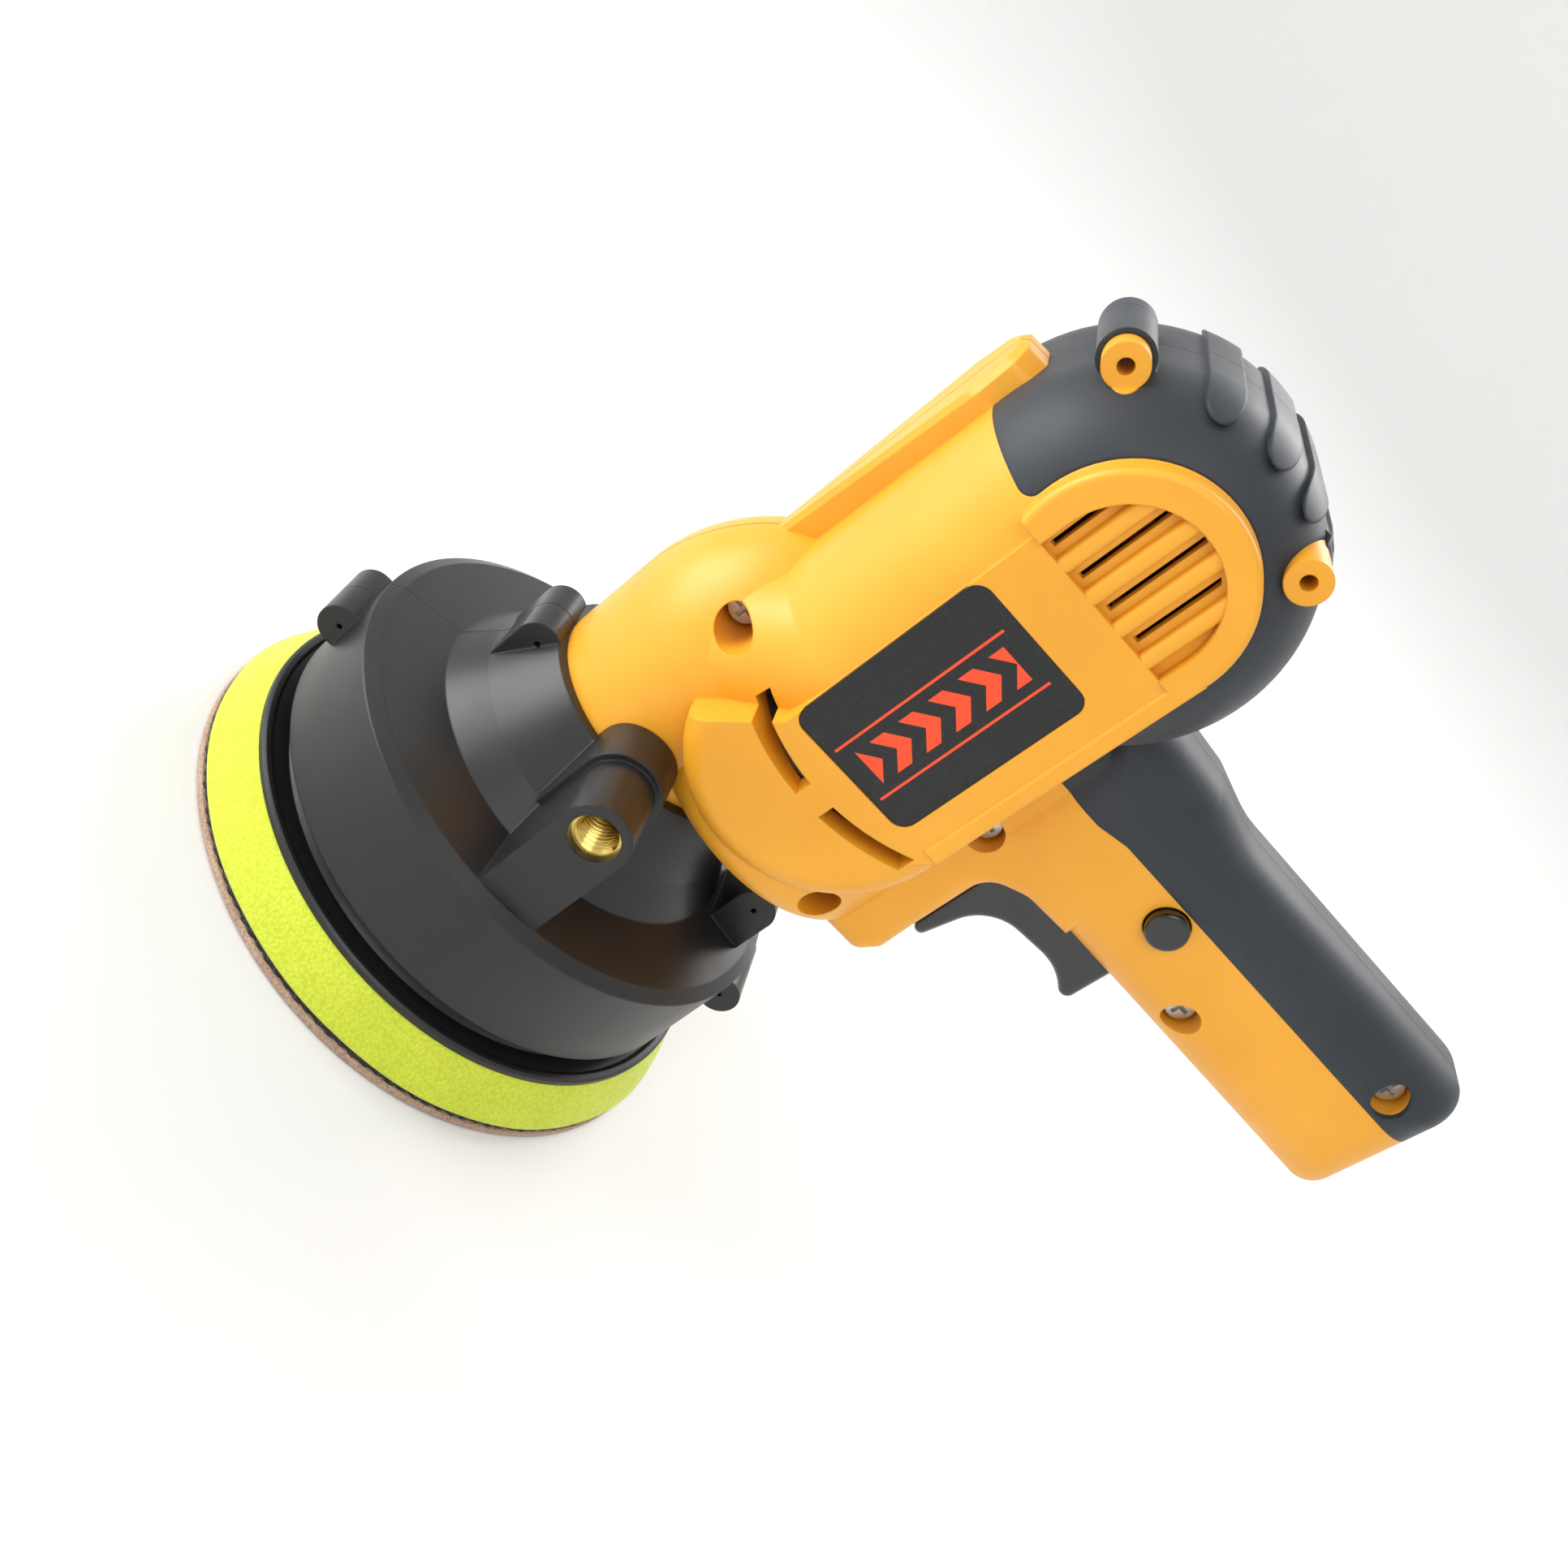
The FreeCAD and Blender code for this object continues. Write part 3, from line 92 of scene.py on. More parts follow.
def add(
    tree: bpy.types.NodeTree, kind: str, settings: dict, links: dict, out: int | str = 0
) -> bpy.types.NodeSocket | None:
    """Adds one shader node with its settings and inputs.

    Args:
        tree: Node tree that gets the node.
        kind: Blender's type name of the node.
        settings: Property names and their values.
        links: Input sockets, by name or number, with a value or another node's output.
        out: Name or number of the output to hand back.

    Returns:
        That output socket, or None for a node with no output.
    """
    node = tree.nodes.new(kind)
    for key, value in settings.items():
        setattr(node, key, value)
    for key, value in links.items():
        if isinstance(value, bpy.types.NodeSocket):
            tree.links.new(value, node.inputs[key])
        else:
            node.inputs[key].default_value = value
    return node.outputs[out] if len(node.outputs) else None


# ---- finishes ----


@dataclass(frozen=True)
class Finish:
    """A material made once and shared by every piece that wears it."""

    name: str
    colour: str
    shade: str
    roughness: float

    def material(self) -> bpy.types.Material:
        """Makes the material, or finds it if it is made already.

        Returns:
            The material.
        """
        found = bpy.data.materials.get(self.name)
        if found:
            return found
        made = bpy.data.materials.new(self.name)
        made.use_nodes = True
        made.diffuse_color = linear(self.colour)
        tree = made.node_tree
        tree.nodes.clear()
        add(tree, "ShaderNodeOutputMaterial", {}, {"Surface": self.surface(tree)})
        return made

    def surface(self, tree: bpy.types.NodeTree) -> bpy.types.NodeSocket:
        """Builds the shader and gives its output."""
        raise NotImplementedError

    def tint(self, tree: bpy.types.NodeTree, share: bpy.types.NodeSocket) -> bpy.types.NodeSocket:
        """Mixes the finish's colour towards its shade by a share from 0 to 1."""
        ends = {0: share, 6: linear(self.colour), 7: linear(self.shade)}
        return add(tree, "ShaderNodeMix", {"data_type": "RGBA"}, ends, 2)


@dataclass(frozen=True)
class MouldedPolymer(Finish):
    """Injection-moulded plastic or rubber: fine spark-eroded grain, soft flow clouds and rounded edges
    lightened by a painted highlight.
    """

    grain_mm: float = 0.45
    grain_depth_mm: float = 0.012
    flow_mm: float = 28.0
    edge_mm: float = 0.5
    ior: float = 1.5
    coat: float = 0.0
    sheen: float = 0.0
    seam: bool = False

    def surface(self, tree: bpy.types.NodeTree) -> bpy.types.NodeSocket:
        """Builds the shader and gives its output."""
        point = add(tree, "ShaderNodeTexCoord", {}, {}, "Object")
        flow = add(
            tree, "ShaderNodeTexNoise", {}, {"Vector": point, "Scale": per_mm(self.flow_mm), "Detail": 3.0}
        )
        grain = add(
            tree, "ShaderNodeTexNoise", {}, {"Vector": point, "Scale": per_mm(self.grain_mm), "Detail": 2.0}
        )
        rounded = add(tree, "ShaderNodeBevel", {"samples": 4}, {"Radius": self.edge_mm * MM})
        flat = add(tree, "ShaderNodeNewGeometry", {}, {}, "Normal")
        match = add(
            tree, "ShaderNodeVectorMath", {"operation": "DOT_PRODUCT"}, {0: rounded, 1: flat}, "Value"
        )
        # Edges are painted a little lighter than the faces: a painted highlight wherever the bevelled normal
        # turns away from the face's own.
        edge_highlight = add(
            tree, "ShaderNodeMapRange", {}, {"Value": match, 1: 0.995, 2: 0.8, 3: 0.0, 4: 0.35}
        )
        cloud = add(tree, "ShaderNodeMapRange", {}, {"Value": flow, 1: 0.35, 2: 0.68, 3: 0.0, 4: 0.55})
        share = add(
            tree, "ShaderNodeMath", {"operation": "SUBTRACT", "use_clamp": True}, {0: cloud, 1: edge_highlight}
        )
        height = add(
            tree, "ShaderNodeMath", {"operation": "MULTIPLY"}, {0: grain, 1: self.grain_depth_mm * MM}
        )
        if self.seam:
            side = add(tree, "ShaderNodeSeparateXYZ", {}, {"Vector": point}, "Y")
            away = add(tree, "ShaderNodeMath", {"operation": "ABSOLUTE"}, {0: side})
            # The two mould halves meet in a groove a third of a millimetre wide.
            groove = add(
                tree, "ShaderNodeMapRange", {}, {"Value": away, 1: 0.06 * MM, 2: 0.3 * MM, 3: 1.0, 4: 0.0}
            )
            share = add(
                tree, "ShaderNodeMath", {"operation": "ADD", "use_clamp": True}, {0: share, 1: groove}
            )
            height = add(
                tree,
                "ShaderNodeMath",
                {"operation": "MULTIPLY_ADD"},
                {0: groove, 1: -0.25 * MM, 2: height},
            )
        normal = add(
            tree, "ShaderNodeBump", {}, {"Height": height, "Distance": 1.0, "Normal": rounded}
        )
        rough = add(
            tree,
            "ShaderNodeMapRange",
            {},
            {"Value": flow, 1: 0.3, 2: 0.7, 3: self.roughness - 0.05, 4: self.roughness + 0.06},
        )
        return add(
            tree,
            "ShaderNodeBsdfPrincipled",
            {},
            {
                "Base Color": self.tint(tree, share),
                "Roughness": rough,
                "Normal": normal,
                "IOR": self.ior,
                "Coat Weight": self.coat,
                "Coat Roughness": 0.12,
                "Sheen Weight": self.sheen,
                "Sheen Roughness": 0.5,
            },
        )


@dataclass(frozen=True)
class PrintedLabel(Finish):
    """Pebbled black panel with two printed orange rules and a row of chevrons between them."""

    ink: str = "#F04A1C"
    pebble_mm: float = 0.75
    rule_x_mm: tuple[float, float] = (18.7, 31.1)
    rule_half_mm: float = 0.27
    print_z_mm: tuple[float, float] = (106.3, 145.0)
    row_x_mm: float = 24.9
    row_half_mm: float = 3.9
    row_z_mm: tuple[float, float] = (109.0, 143.0)
    chevron_mm: float = 6.8
    chevron_share: float = 0.5

    def within(
        self, tree: bpy.types.NodeTree, value: bpy.types.NodeSocket, middle_mm: float, half_mm: float
    ) -> bpy.types.NodeSocket:
        """Gives 1 where a coordinate lies within half_mm of middle_mm, else 0.

        Args:
            tree: Node tree of the label.
            value: Coordinate in metres.
            middle_mm: Middle of the band.
            half_mm: Half of the band's width.

        Returns:
            The band's mask.
        """
        return add(
            tree,
            "ShaderNodeMath",
            {"operation": "COMPARE"},
            {0: value, 1: middle_mm * MM, 2: half_mm * MM},
        )

    def ink_mask(self, tree: bpy.types.NodeTree, point: bpy.types.NodeSocket) -> bpy.types.NodeSocket:
        """Gives 1 where ink is printed.

        Args:
            tree: Node tree of the label.
            point: Object coordinates.

        Returns:
            The mask of both rules and the chevrons.
        """
        axes = add(tree, "ShaderNodeSeparateXYZ", {}, {"Vector": point}).node.outputs
        x, z = axes["X"], axes["Z"]
        rules = [self.within(tree, x, middle, self.rule_half_mm) for middle in self.rule_x_mm]
        both = add(tree, "ShaderNodeMath", {"operation": "ADD"}, {0: rules[0], 1: rules[1]})
        z0, z1 = self.print_z_mm
        length = self.within(tree, z, (z0 + z1) / 2, (z1 - z0) / 2)
        lines = add(tree, "ShaderNodeMath", {"operation": "MULTIPLY"}, {0: both, 1: length})
        off = add(tree, "ShaderNodeMath", {"operation": "SUBTRACT"}, {0: x, 1: self.row_x_mm * MM})
        arm = add(tree, "ShaderNodeMath", {"operation": "ABSOLUTE"}, {0: off})
        slant = add(tree, "ShaderNodeMath", {"operation": "MULTIPLY_ADD"}, {0: arm, 1: 0.8, 2: z})
        turn = add(
            tree, "ShaderNodeMath", {"operation": "MULTIPLY"}, {0: slant, 1: per_mm(self.chevron_mm)}
        )
        saw = add(tree, "ShaderNodeMath", {"operation": "FRACT"}, {0: turn})
        bar = add(tree, "ShaderNodeMath", {"operation": "LESS_THAN"}, {0: saw, 1: self.chevron_share})
        row = self.within(tree, x, self.row_x_mm, self.row_half_mm)
        r0, r1 = self.row_z_mm
        reach = self.within(tree, z, (r0 + r1) / 2, (r1 - r0) / 2)
        bars = add(tree, "ShaderNodeMath", {"operation": "MULTIPLY"}, {0: bar, 1: row})
        inside = add(tree, "ShaderNodeMath", {"operation": "MULTIPLY"}, {0: bars, 1: reach})
        return add(
            tree, "ShaderNodeMath", {"operation": "ADD", "use_clamp": True}, {0: lines, 1: inside}
        )

    def surface(self, tree: bpy.types.NodeTree) -> bpy.types.NodeSocket:
        """Builds the shader and gives its output."""
        point = add(tree, "ShaderNodeTexCoord", {}, {}, "Object")
        mask = self.ink_mask(tree, point)
        pebbles = add(
            tree, "ShaderNodeTexVoronoi", {}, {"Vector": point, "Scale": per_mm(self.pebble_mm)}
        )
        fine = add(tree, "ShaderNodeTexNoise", {}, {"Vector": point, "Scale": per_mm(0.3), "Detail": 2.0})
        black = self.tint(tree, pebbles)
        colour = add(
            tree, "ShaderNodeMix", {"data_type": "RGBA"}, {0: mask, 6: black, 7: linear(self.ink)}, 2
        )
        height = add(tree, "ShaderNodeMath", {"operation": "MULTIPLY"}, {0: pebbles, 1: -0.09 * MM})
        height = add(
            tree, "ShaderNodeMath", {"operation": "MULTIPLY_ADD"}, {0: fine, 1: 0.02 * MM, 2: height}
        )
        rounded = add(tree, "ShaderNodeBevel", {"samples": 4}, {"Radius": 0.25 * MM})
        normal = add(
            tree, "ShaderNodeBump", {}, {"Height": height, "Distance": 1.0, "Normal": rounded}
        )
        rough = add(
            tree,
            "ShaderNodeMapRange",
            {},
            {"Value": fine, 1: 0.3, 2: 0.7, 3: self.roughness - 0.08, 4: self.roughness + 0.08},
        )
        return add(
            tree,
            "ShaderNodeBsdfPrincipled",
            {},
            {"Base Color": colour, "Roughness": rough, "Normal": normal, "IOR": 1.5},
        )


class Lay(Enum):
    """Which way a cutting tool or a stack leaves its lines, as the axis the lines are spaced along."""

    ALONG_X = "X"
    ALONG_Y = "Y"
    ALONG_Z = "Z"


@dataclass(frozen=True)
class WorkedMetal(Finish):
    """Turned, drawn, wound or stacked metal: lines at one spacing and a slightly uneven gloss."""

    line_mm: float = 0.4
    line_depth_mm: float = 0.01
    lay: Lay = Lay.ALONG_Z
    metallic: float = 1.0
    edge_mm: float = 0.2

    def surface(self, tree: bpy.types.NodeTree) -> bpy.types.NodeSocket:
        """Builds the shader and gives its output."""
        point = add(tree, "ShaderNodeTexCoord", {}, {}, "Object")
        along = add(tree, "ShaderNodeSeparateXYZ", {}, {"Vector": point}, self.lay.value)
        turns = add(
            tree,
            "ShaderNodeMath",
            {"operation": "MULTIPLY"},
            {0: along, 1: 2 * math.pi * per_mm(self.line_mm)},
        )
        wave = add(tree, "ShaderNodeMath", {"operation": "SINE"}, {0: turns})
        smudge = add(tree, "ShaderNodeTexNoise", {}, {"Vector": point, "Scale": per_mm(3.0), "Detail": 4.0})
        lines = add(tree, "ShaderNodeMapRange", {}, {"Value": wave, 1: -1.0, 2: 1.0, 3: 0.5, 4: 0.0})
        share = add(
            tree, "ShaderNodeMath", {"operation": "MULTIPLY", "use_clamp": True}, {0: lines, 1: smudge}
        )
        height = add(
            tree, "ShaderNodeMath", {"operation": "MULTIPLY"}, {0: wave, 1: self.line_depth_mm * MM / 2}
        )
        rounded = add(tree, "ShaderNodeBevel", {"samples": 4}, {"Radius": self.edge_mm * MM})
        normal = add(
            tree, "ShaderNodeBump", {}, {"Height": height, "Distance": 1.0, "Normal": rounded}
        )
        rough = add(
            tree,
            "ShaderNodeMapRange",
            {},
            {"Value": smudge, 1: 0.3, 2: 0.7, 3: self.roughness - 0.06, 4: self.roughness + 0.1},
        )
        return add(
            tree,
            "ShaderNodeBsdfPrincipled",
            {},
            {
                "Base Color": self.tint(tree, share),
                "Metallic": self.metallic,
                "Roughness": rough,
                "Normal": normal,
            },
        )


@dataclass(frozen=True)
class CellularSheet(Finish):
    """Foam, grit or pile: a field of cells whose pits are darkened with painted shade, soft to the light."""

    cell_mm: float = 0.8
    depth_mm: float = 0.12
    sheen: float = 0.2
    streak_mm: float = 9.0

    def surface(self, tree: bpy.types.NodeTree) -> bpy.types.NodeSocket:
        """Builds the shader and gives its output."""
        point = add(tree, "ShaderNodeTexCoord", {}, {}, "Object")
        cells = add(
            tree, "ShaderNodeTexVoronoi", {}, {"Vector": point, "Scale": per_mm(self.cell_mm)}
        )
        cloud = add(
            tree, "ShaderNodeTexNoise", {}, {"Vector": point, "Scale": per_mm(self.streak_mm), "Detail": 4.0}
        )
        fine_scale = per_mm(self.cell_mm / 2.5)
        fine = add(tree, "ShaderNodeTexNoise", {}, {"Vector": point, "Scale": fine_scale, "Detail": 3.0})
        # Painted shade: the colour darkens in the pits, deepest where the bump dips lowest.
        pit_shade = add(tree, "ShaderNodeMapRange", {}, {"Value": cells, 1: 0.3, 2: 0.8, 3: 0.0, 4: 0.7})
        soft = add(tree, "ShaderNodeMapRange", {}, {"Value": cloud, 1: 0.4, 2: 0.7, 3: 0.0, 4: 0.3})
        share = add(
            tree, "ShaderNodeMath", {"operation": "ADD", "use_clamp": True}, {0: pit_shade, 1: soft}
        )
        dips = add(tree, "ShaderNodeMath", {"operation": "MULTIPLY"}, {0: cells, 1: -self.depth_mm * MM})
        height = add(
            tree,
            "ShaderNodeMath",
            {"operation": "MULTIPLY_ADD"},
            {0: fine, 1: self.depth_mm * MM / 2, 2: dips},
        )
        normal = add(tree, "ShaderNodeBump", {}, {"Height": height, "Distance": 1.0})
        rough = add(
            tree,
            "ShaderNodeMapRange",
            {},
            {"Value": fine, 1: 0.3, 2: 0.7, 3: self.roughness - 0.06, 4: min(1.0, self.roughness + 0.06)},
        )
        return add(
            tree,
            "ShaderNodeBsdfPrincipled",
            {},
            {
                "Base Color": self.tint(tree, share),
                "Roughness": rough,
                "Normal": normal,
                "Sheen Weight": self.sheen,
            },
        )


# Glass-filled nylon in warm yellow: satin, with a faint spark-eroded grain that keeps highlights broad.
YELLOW_NYLON = MouldedPolymer(
    "yellow_glass_filled_nylon", "#EFA82A", "#E1981C", 0.4, grain_mm=0.4, grain_depth_mm=0.008, seam=True
)
# Soft thermoplastic rubber moulded over the rear: a blue-black with a dry, slightly dusty gloss.
GRIP_RUBBER = MouldedPolymer(
    "overmoulded_soft_rubber",
    "#292E35",
    "#1F2329",
    0.5,
    grain_depth_mm=0.014,
    edge_mm=0.8,
    ior=1.45,
    sheen=0.08,
)
# Black nylon of the shroud and backing plate: smoother than the body, so its edges catch long highlights.
BLACK_NYLON = MouldedPolymer(
    "black_moulded_nylon",
    "#1D1D1F",
    "#151516",
    0.36,
    grain_mm=0.6,
    grain_depth_mm=0.01,
    edge_mm=0.6,
    seam=True,
)
PLATE_NYLON = MouldedPolymer("backing_plate_nylon", "#19191A", "#111112", 0.4, edge_mm=0.4)
# Polished black trigger and button: the thumb and finger have made them glossy.
GLOSSY_ABS = MouldedPolymer(
    "glossy_black_abs", "#101012", "#0B0B0C", 0.18, grain_mm=1.5, grain_depth_mm=0.004, coat=0.5
)
SWITCH_NYLON = MouldedPolymer("switch_body_nylon", "#2A2A2C", "#1E1E20", 0.5)
# Grey-brown nylon fan, its colour made lighter as painted light so that the blades show in the shaded vent
# slots.
LIGHTENED_FAN_NYLON = MouldedPolymer("lightened_fan_nylon", "#9C9086", "#746A60", 0.6, edge_mm=0.25, flow_mm=9.0)
LABEL_SHEET = PrintedLabel("pebbled_printed_label", "#141416", "#09090A", 0.42)
# Open-cell polyurethane foam, lime: matt, with pores drawn coarse enough to show.
LIME_FOAM = CellularSheet("lime_open_cell_foam", "#D0DC40", "#BAC82C", 0.88, cell_mm=0.7, depth_mm=0.1)
# Aluminium-oxide grit on cloth, tan: dry and sparkling only a little.
TAN_GRIT = CellularSheet("tan_oxide_grit_cloth", "#BFA08A", "#8A6C56", 0.85, cell_mm=0.5, depth_mm=0.08)
HOOK_PILE = CellularSheet("black_hook_pile", "#161616", "#050505", 0.92, cell_mm=0.9, depth_mm=0.3)
PRESSED_CARBON = CellularSheet(
    "pressed_carbon", "#2B2B2D", "#161617", 0.5, cell_mm=0.4, depth_mm=0.01, sheen=0.0
)
TURNED_BRASS = WorkedMetal("turned_brass", "#E3C66E", "#B8934A", 0.22, line_mm=0.35, lay=Lay.ALONG_Y)
DRAWN_BRASS = WorkedMetal("folded_brass_strip", "#D9B867", "#A8863F", 0.3, line_mm=0.6, lay=Lay.ALONG_X)
ZINC_STEEL = WorkedMetal("zinc_plated_steel", "#C9CBC8", "#8D8F8C", 0.3, line_mm=0.5, lay=Lay.ALONG_Y)
BLACK_STEEL = WorkedMetal("black_oxide_steel", "#3A3A3C", "#1E1E20", 0.38, line_mm=0.5, lay=Lay.ALONG_Y)
GROUND_STEEL = WorkedMetal("ground_steel", "#C4C6C8", "#96999C", 0.24, line_mm=0.3)
GEAR_STEEL = WorkedMetal("hobbed_steel_gear", "#9A9CA0", "#6A6C70", 0.3, line_mm=0.5)
BEARING_STEEL = WorkedMetal("polished_bearing_steel", "#CFD1D3", "#A5A8AB", 0.14, line_mm=0.25)
SPRING_WIRE = WorkedMetal("drawn_spring_wire", "#A9ABAE", "#77797C", 0.28, line_mm=0.3)
# Silicon-steel laminations half a millimetre thick, drawn at one millimetre so that the stack reads.
LAMINATED_STEEL = WorkedMetal(
    "stacked_steel_laminations", "#7D7F83", "#45474A", 0.42, line_mm=1.0, line_depth_mm=0.08
)
COPPER_WIRE = WorkedMetal(
    "enamelled_copper_wire", "#B4562C", "#7A3218", 0.26, line_mm=0.9, line_depth_mm=0.2
)
COPPER_BARS = WorkedMetal("turned_copper_bars", "#CC7A4A", "#96502C", 0.3, line_mm=0.3)
STUDIO_CARD = MouldedPolymer("matt_studio_card", "#F4F4F3", "#F0F0EF", 0.85, grain_mm=40.0, flow_mm=900.0)


# ---- shapes ----


def finished(
    shape: bmesh.types.BMesh, name: str, finish: Finish, body: str, replaced: str | None
) -> bpy.types.Object:
    """Turns a bmesh into a smooth-shaded piece that rides on a body.

    Args:
        shape: The mesh, in metres in the row frame. It is freed.
        name: Name of the new piece.
        finish: What it wears.
        body: Moving body it goes with.
        replaced: The node it stands for, if any.

    Returns:
        The piece.
    """
    bmesh.ops.remove_doubles(shape, verts=shape.verts, dist=1e-6)
    bmesh.ops.recalc_face_normals(shape, faces=shape.faces)
    mesh = bpy.data.meshes.new(name)
    shape.to_mesh(mesh)
    shape.free()
    mesh.materials.append(finish.material())
    mesh.shade_smooth()
    piece = bpy.data.objects.new(name, mesh)
    bpy.context.scene.collection.objects.link(piece)
    piece.data.set_sharp_from_angle(angle=math.radians(35))
    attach(piece, body)
    if replaced:
        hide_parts(replaced)
    LOG.info("%s: %d faces on %s", name, len(mesh.polygons), body)
    return piece


def turned(profile: list[tuple[float, float]], steps: int) -> bmesh.types.BMesh:
    """Spins a profile round the spindle's axis.

    Args:
        profile: Radius and height of each corner, in millimetres.
        steps: Faces round the full turn.

    Returns:
        The turned shape.
    """
    shape = bmesh.new()
    corners = [shape.verts.new((r * MM, 0.0, z * MM)) for r, z in profile]
    edges = [shape.edges.new(pair) for pair in zip(corners, corners[1:])]
    bmesh.ops.spin(
        shape,
        geom=corners + edges,
        cent=(0, 0, 0),
        axis=(0, 0, 1),
        dvec=(0, 0, 0),
        angle=2 * math.pi,
        steps=steps,
        use_merge=True,
        use_duplicate=False,
    )
    return shape


def wind(
    shape: bmesh.types.BMesh,
    geom: list,
    centre: tuple[float, float, float],
    axis: int,
    pitch: float,
    turns: float,
) -> None:
    """Sweeps a closed section along a helix and shuts both of its ends.

    Args:
        shape: Mesh that holds the section.
        geom: The section's vertices and edges.
        centre: A point on the helix's axis.
        axis: Number of the coordinate axis that the helix runs along.
        pitch: Travel of one turn, in metres.
        turns: Number of turns.
    """
    along = [0.0, 0.0, 0.0]
    along[axis] = 1.0
    per_turn = 32
    bmesh.ops.spin(
        shape,
        geom=geom,
        cent=centre,
        axis=along,
        dvec=[pitch / per_turn * share for share in along],
        angle=2 * math.pi * turns,
        steps=round(turns * per_turn),
        use_merge=False,
        use_duplicate=False,
    )
    bmesh.ops.holes_fill(shape, edges=[e for e in shape.edges if e.is_boundary], sides=0)


def dress(nodes: dict[str, Finish]) -> None:
    """Gives each node its finish.

    Args:
        nodes: Node names and what each wears.
    """
    for name, finish in nodes.items():
        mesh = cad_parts[name].data
        mesh.materials.clear()
        mesh.materials.append(finish.material())
        LOG.info("%s wears %s", name, finish.name)


# ---- sub-assemblies ----


@dataclass
class Body:
    """The yellow clamshell with its rubber, labels and screws."""

    def dress(self) -> None:
        """Gives the body's nodes their finishes."""
        dress(
            {
                "left_housing": YELLOW_NYLON,
                "right_housing": YELLOW_NYLON,
                "left_rubber_grip": GRIP_RUBBER,
                "right_rubber_grip": GRIP_RUBBER,
                "left_label": LABEL_SHEET,
                "right_label": LABEL_SHEET,
                "housing_screws": ZINC_STEEL,
            }
        )


@dataclass
class Shroud:
    """The split black bell, its clamp screws and the two threaded side-handle inserts."""

    thread_pitch_mm: float = 1.5
    thread_depth_mm: float = 0.75
    bore_r_mm: float = 4.25
    root_sunk_mm: float = 0.02

    def dress(self) -> None:
        """Gives the shroud's nodes their finishes."""
        dress(
            {
                "left_shroud": BLACK_NYLON,
                "right_shroud": BLACK_NYLON,
                "shroud_screws": BLACK_STEEL,
                "left_handle_insert": TURNED_BRASS,
                "right_handle_insert": TURNED_BRASS,
            }
        )

    def thread(self, side: str) -> None:
        """Winds the thread inside one insert.

        Args:
            side: "left" or "right".
        """
        low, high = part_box(f"{side}_handle_insert")
        centre = (low + high) / 2
        bore = (self.bore_r_mm + self.root_sunk_mm) * MM
        half_pitch = self.thread_pitch_mm * MM * 0.46
        shape = bmesh.new()
        y = low.y + half_pitch
        section = [(bore, y - half_pitch), (bore - self.thread_depth_mm * MM, y), (bore, y + half_pitch)]
        corners = [shape.verts.new((centre.x + r, at, centre.z)) for r, at in section]
        edges = [shape.edges.new(pair) for pair in zip(corners, corners[1:] + corners[:1])]
        turns = (high.y - low.y) / (self.thread_pitch_mm * MM) - 1.0
        wind(shape, corners + edges, (centre.x, 0, centre.z), 1, self.thread_pitch_mm * MM, turns)
        finished(shape, f"{side}_insert_thread", TURNED_BRASS, "housing", None)

    def build(self) -> None:
        """Makes both threads."""
        for side in ("left", "right"):
            self.thread(side)


@dataclass
class Pad:
    """Backing plate, foam, hook sheet and abrasive disc, which turn with the spindle."""

    steps: int = 256
    foam_roll_mm: float = 0.9
    foam_bow_mm: float = 0.45
    tooth_mm: float = 0.45
    teeth: int = 128

    def span(self, node: str) -> tuple[float, float, float]:
        """Gives a pad layer's radius, lowest and highest level in millimetres."""
        low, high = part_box(node)
        return high.x / MM, low.z / MM, high.z / MM

    def foam(self) -> None:
        """Makes the foam: its side leans in to the plate and its rims are softly rolled."""
        r, z0, z1 = self.span("foam_pad")
        top_r = self.span("backing_plate")[0] + 0.1
        roll = self.foam_roll_mm
        profile = [(0.0, z0), (r - roll, z0), (r - roll * 0.3, z0 + roll * 0.25), (r, z0 + roll)]
        for k in range(1, 6):
            t = k / 6
            bow = math.sin(math.pi * t) * self.foam_bow_mm
            profile.append((r + (top_r - r) * t + bow, z0 + roll + (z1 - z0 - 2 * roll) * t))
        profile += [(top_r, z1 - roll * 0.6), (top_r - 0.35, z1 - 0.15), (top_r - 0.9, z1), (0.0, z1)]
        shape = turned(profile, self.steps)
        for vertex in shape.verts:
            angle = math.atan2(vertex.co.y, vertex.co.x)
            swell = 1 + 0.0016 * math.sin(5 * angle + 0.7) + 0.0011 * math.sin(13 * angle)
            if vertex.co.xy.length > r * MM * 0.8:
                vertex.co.x *= swell
                vertex.co.y *= swell
        piece = finished(shape, "foam", LIME_FOAM, "spindle", "foam_pad")

    def hooks(self) -> None:
        """Makes the hook sheet with its frayed, toothed rim."""
        r, z0, z1 = self.span("hook_layer")
        shape = turned([(0.0, z0), (r, z0), (r, z1), (0.0, z1)], self.teeth * 4)
        for vertex in shape.verts:
            if vertex.co.xy.length > r * MM * 0.9:
                angle = math.atan2(vertex.co.y, vertex.co.x)
                tooth = math.sin(self.teeth * angle) + 0.6 * math.sin(self.teeth * 0.37 * angle + 1.0)
                pull = 1 - self.tooth_mm * (1 + tooth * 0.5) / r
                vertex.co.x *= pull
                vertex.co.y *= pull
        finished(shape, "hook_sheet", HOOK_PILE, "spindle", "hook_layer")

    def disc(self) -> None:
        """Makes the abrasive disc with its punched, slightly rolled rim."""
        r, z0, z1 = self.span("abrasive_disc")
        profile = [(0.0, z0), (r - 0.35, z0), (r, z0 + 0.3), (r, z1 - 0.25), (r - 0.25, z1), (0.0, z1)]
        shape = turned(profile, self.steps)
        finished(shape, "grit_disc", TAN_GRIT, "spindle", "abrasive_disc")

    def build(self) -> None:
        """Makes the soft layers."""
        self.foam()
        self.hooks()
        self.disc()

    def dress(self) -> None:
        """Gives the plate its finish."""
        dress({"backing_plate": PLATE_NYLON})


